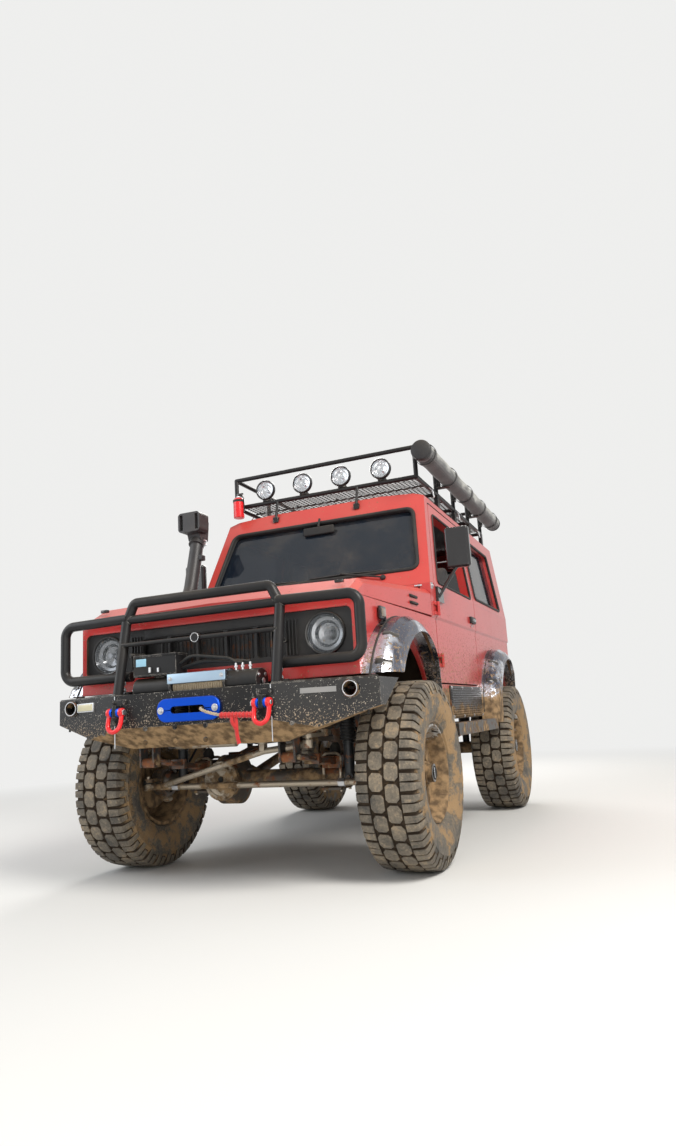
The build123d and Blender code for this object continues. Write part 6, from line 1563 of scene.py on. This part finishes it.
# Under the bonnet and the body
def engine_parts():
    """Ribbed cover, air filter and pipes, battery and leads, hoses, booster, bottle and fan."""
    s = Shape("engine")
    s.block((-150, 70), (-210, 200), (1076, 1094), 6, 2)
    for rib in range(6):
        s.block((-140, 60), (-190 + rib * 62, -172 + rib * 62), (1090, 1098), 3)
    s.use("gloss_black").lathe([(0, 0), (0, 26), (10, 28), (16, 22), (16, 0)], (-90, 150, 1092), "z", 24)
    s.lathe([(0, 90), (6, 100), (54, 100), (60, 90)], (-430, 10, 1000), "z", 36)
    s.tube([(-430, -90, 1030), (-420, -200, 1040), (-300, -250, 1030), (-196, -200, 1020)], 32, 16, 60)
    s.tube([(-430, 110, 1030), (-470, 220, 1050), (-560, 300, 1060), (-664, 330, 1064)], 32, 16, 60)
    s.use("trim").block((290, 480), (60, 230), (900, 1080), 6, 2)
    s.use("interior").block((288, 482), (58, 232), (1078, 1094), 4, 2)
    s.use("bare")
    for x in (330, 440):
        s.rod((x, 100, 1094), (x, 100, 1106), 9, 12)
    s.use("rubber").tube([(330, 100, 1104), (320, 20, 1100), (240, -60, 1060), (196, -80, 1000)], 7, 8, 40)
    s.use("rubber").tube([(440, 100, 1104), (500, 40, 1080), (520, 60, 960), (500, 120, 800)], 7, 8, 40)
    s.tube([(180, -380, 1040), (200, -300, 1050), (150, -220, 1040), (100, -230, 1010)], 20, 12, 50)
    s.tube([(-180, -380, 800), (-220, -320, 820), (-170, -260, 820)], 20, 12, 50)
    booster = [(0, 0), (0, 120), (20, 126), (60, 110), (80, 60), (110, 56), (110, 0)]
    s.use("engine").lathe(booster, (400, 480, 1010), (0, -1, 0), 36)
    bottle = [(0, 0), (0, 40), (60, 40), (64, 24), (80, 24), (80, 0)]
    s.use("blank_plate").lathe(bottle, (520, 300, 980), "z", 24)
    fan_y, fan_z, blades = -392, 915, 7
    s.use("engine").lathe([(0, 150), (2, 156), (10, 156), (12, 150)], (0, fan_y, fan_z), "y", 40, True)
    for k, (x, z) in enumerate(circle(blades, 80)):
        s.block((x - 24, x + 24), (fan_y - 2, fan_y + 18), (fan_z + z - 60, fan_z + z + 60), 3, 1,
                ("y", -360.0 * k / blades))
    s.lathe([(0, 0), (0, 34), (22, 34), (22, 0)], (0, fan_y, fan_z), "y", 20)
    s.done("engine_dress", slot="engine_iron")


def spring_parts():
    """U-bolts and plates at the axles, bump stops, leaf clips and eye bolts."""
    s = Shape("spring")
    u_bolt = ((-40, 330), (-40, 484), (-24, 494), (24, 494), (40, 484), (40, 330))
    for side in (1, -1):
        for y in (0, WHEELBASE):
            x = side * SPRING_X
            s.use("axle_steel").block((x - 46, x + 46), (y - 68, y + 68), (338, 350), 3)
            s.use("rod_steel")
            for dy in (-50, 50):
                s.tube([(x + dx, y + dy, z) for dx, z in u_bolt], 7, 8, 10)
            s.use("rubber").lathe([(0, 20), (8, 26), (34, 24), (52, 14), (56, 0)], (x, y, 486), "z", 24)
            for dy in (-250, 250):
                s.use("spring").block((x - 34, x + 34), (y + dy - 12, y + dy + 12), (464, 506), 3)
            for dy in (-464, 464):
                s.use("rod_steel").rod((x - 46, y + dy, 505), (x + 46, y + dy, 505), 11, 6)
    s.done("spring_clamps", slot="axle_steel")


def damper_parts():
    """Rubber bellows over the damper rods, with a collar below and a nut on top."""
    s, pitch = Shape("damper"), 13
    for side in (1, -1):
        for y, top in ((-75, 770), (2105, 672)):
            low = HUB_Z + 0.42 * (top - HUB_Z)
            count = int((top - 20 - low) / pitch)
            profile = [(0, 24), (2, 33)]
            for k in range(count):
                profile += [(4 + k * pitch, 35), (8 + k * pitch, 35.5), (11 + k * pitch, 30.5)]
            profile += [(4 + count * pitch, 33), (6 + count * pitch, 14)]
            x, collar = side * DAMPER_X, [(0, 23.5), (2, 25.5), (10, 25.5), (12, 23.5)]
            s.use("rubber").lathe(profile, (x, y, low - 2), "z", 28)
            s.use("damper").lathe(collar, (x, y, low - 16), "z", 24)
            s.use("bare").rod((x, y, top + 6), (x, y, top + 24), 7, 6)
    s.done("damper_gaiters", slot="damper_paint")


def steering_parts():
    """The steering damper, whose rod moves with the links, and the rods' boots and clamps."""
    s, y, z = Shape("rod_steel"), -345, 575
    s.rod((-272, y, z), (26, y, z), 22, 24)
    s.rod((26, y, z), (34, y, z), 15, 16)
    s.use("frame_steel").block((-306, -268), (-366, -324), (556, 604), 4)
    s.done("steering_damper_body", slot="damper_paint")
    s = Shape("bare")
    s.rod((-30, y, z), (140, y, z), 7, 12)
    s.use("rod_steel").lathe([(-13, 8), (-13, 20), (13, 20), (13, 8)], (150, y, z - 3), "z", 20, True)
    s.block((138, 162), (-360, -326), (530, 566), 4)
    s.use("rubber")
    for x in (574, -574):
        s.lathe([(0, 16), (10, 22), (26, 20), (30, 10)], (x, ROD_Y, 384), "z", 20)
    s.use("bare")
    for x in (400, -432):
        s.rod((x, ROD_Y, 377.5), (x + 32, ROD_Y, 377.5), 18, 6)
    s.done("steering_ends", "steering_links", "steering_steel")


def underbody_parts():
    """Covers on the axles, tank straps, exhaust clamps and pipes along the frame."""
    spots = []
    covers = ((-COVER_Y, -1), (WHEELBASE + COVER_Y, 1))
    for y, way in covers:
        spots += [((AXLE_BULGE_X + u, y + way * 3, HUB_Z + v), (0, way, 0)) for u, v in circle(10, 77)]
    bolts("diff_cover_bolts", spots, 7, 5, "rod_steel")
    s = Shape("frame_steel")
    for y, way in covers:
        dome = [(way * d, r) for d, r in ((-6, 86), (0, 88), (3, 88), (5, 70), (12, 62), (15, 0))]
        plug = [(way * d, r) for d, r in ((14, 0), (14, 14), (20, 12), (20, 0))]
        s.use("rod_steel").lathe(dome, (AXLE_BULGE_X, y, HUB_Z), "y", 40)
        s.use("rubber").lathe(plug, (AXLE_BULGE_X + 6, y, HUB_Z + 8), "y", 6)
    s.use("damper")
    front, back = 2190, 2480
    for strap in (-190, 120):
        s.block((strap - 16, strap + 16), (front - 4, back + 4), (560, 566), 1)
        for y in (front - 5, back + 1):
            s.block((strap - 16, strap + 16), (y, y + 4), (562, 694), 1)
    s.use("exhaust")
    for y in (1110, 1410):
        s.lathe([(0, 50), (0, 55), (12, 55), (12, 50)], (247, y - 6, 495), "y", 32, True)
    s.use("bare")
    for x, low, end in ((-296, 540, 600), (-286, 544, 604)):
        s.tube([(x, -420, 596), (x, 400, low), (x, 1500, low), (x, 2400, end)], 4, 6, 60)
    s.done("underbody_fittings", slot="frame_steel")


# Rear
def rear_lamps():
    """Three lenses on each side, in a black housing."""
    s = Shape("trim")
    for side in (1, -1):
        x = side * 640
        s.use("trim").block((x - 41, x + 41), (2595, 2611), (899, 1101), 4, 2)
        for low, high, finish in ((905, 985, "lens_red"), (987, 1040, "lens_amber"),
                                  (1042, 1095, "lens_clear")):
            s.use(finish).block((x - 35, x + 35), (2606, 2618), (low, high), 4, 3)
    s.done("rear_lamp_lenses", slot="lens_red", replaces=["tail_lamps"])


def rear_bumper_parts():
    """Blank plate on its holder, two red towing bows and end plates."""
    s = Shape("blank_plate")
    s.block((-640, -400), (2727, 2730), (612, 722), 1)
    s.use("powder").block((-646, -394), (2724, 2728), (606, 728), 3)
    s.use("red_gloss")
    bow = ((-24, 0, 0), (-28, 10, -44), (0, 14, -70), (28, 10, -44), (24, 0, 0))
    for side in (1, -1):
        s.block((side * 330 - 12, side * 330 + 12), (2726, 2766), (640, 700), 6, 3)
        s.tube([(side * 330 + a, 2752 + b, 660 + c) for a, b, c in bow], 8, 10, 24)
    s.use("powder")
    for x in (-560, 560):
        s.block((x - 30, x + 30), (2724, 2732), (640, 700), 4)
    s.done("rear_bumper_fittings", slot="bumper_black")
    spots = [((x, 2728, z), (0, 1, 0)) for x in (-220, 0, 220) for z in (612, 718)]
    bolts("rear_bolts", spots, 7, 5, "powder")


def tailgate_parts():
    """Window seal, lock, wiper and the spare wheel's carrier."""
    s = Shape("rubber")
    s.tube([(x, 2597, z) for x, z in ((-468, 1343), (-468, 1708), (468, 1708), (468, 1343))], 9, 8, 30, True)
    s.use("gloss_black").block((470, 530), (2594, 2622), (1150, 1196), 8, 3)
    s.use("trim").tube([(-40, 2604, 1332), (-38, 2608, 1400), (-20, 2606, 1470), (0, 2602, 1560)], 5, 6, 30)
    s.use("rubber").tube([(-60, 2600, 1420), (0, 2601, 1520), (50, 2600, 1640)], 4, 6)
    carrier = [(0, 150), (0, 160), (-90, 130), (-95, 118)]
    s.use("powder").lathe(carrier, (SPARE[0], 2700, SPARE[2]), "y", 24, True)
    s.done("tailgate_trim", "tailgate")
    spots = [((-586 + dx, 2606, z + dz), (0, 1, 0))
             for z in (852, 1180, 1700) for dx in (40, 60) for dz in (-9, 9)]
    bolts("tailgate_hinge_bolts", spots, 5, 3, "paint", "tailgate")


set_camera()
make_materials()
finish_cad_nodes()
set_stage()
wheels()
brakes()
front_lamps()
grille_parts()
winch_parts()
fairlead_plate()
shackles()
rope_parts()
bumper_parts()
window_seals()
wipers()
snorkel_parts()
bonnet_parts()
flare_parts()
slider_parts()
rack_parts()
red_bottle()
seats()
awning_bag()
cabin_parts()
engine_parts()
spring_parts()
damper_parts()
steering_parts()
underbody_parts()
rear_lamps()
rear_bumper_parts()
tailgate_parts()
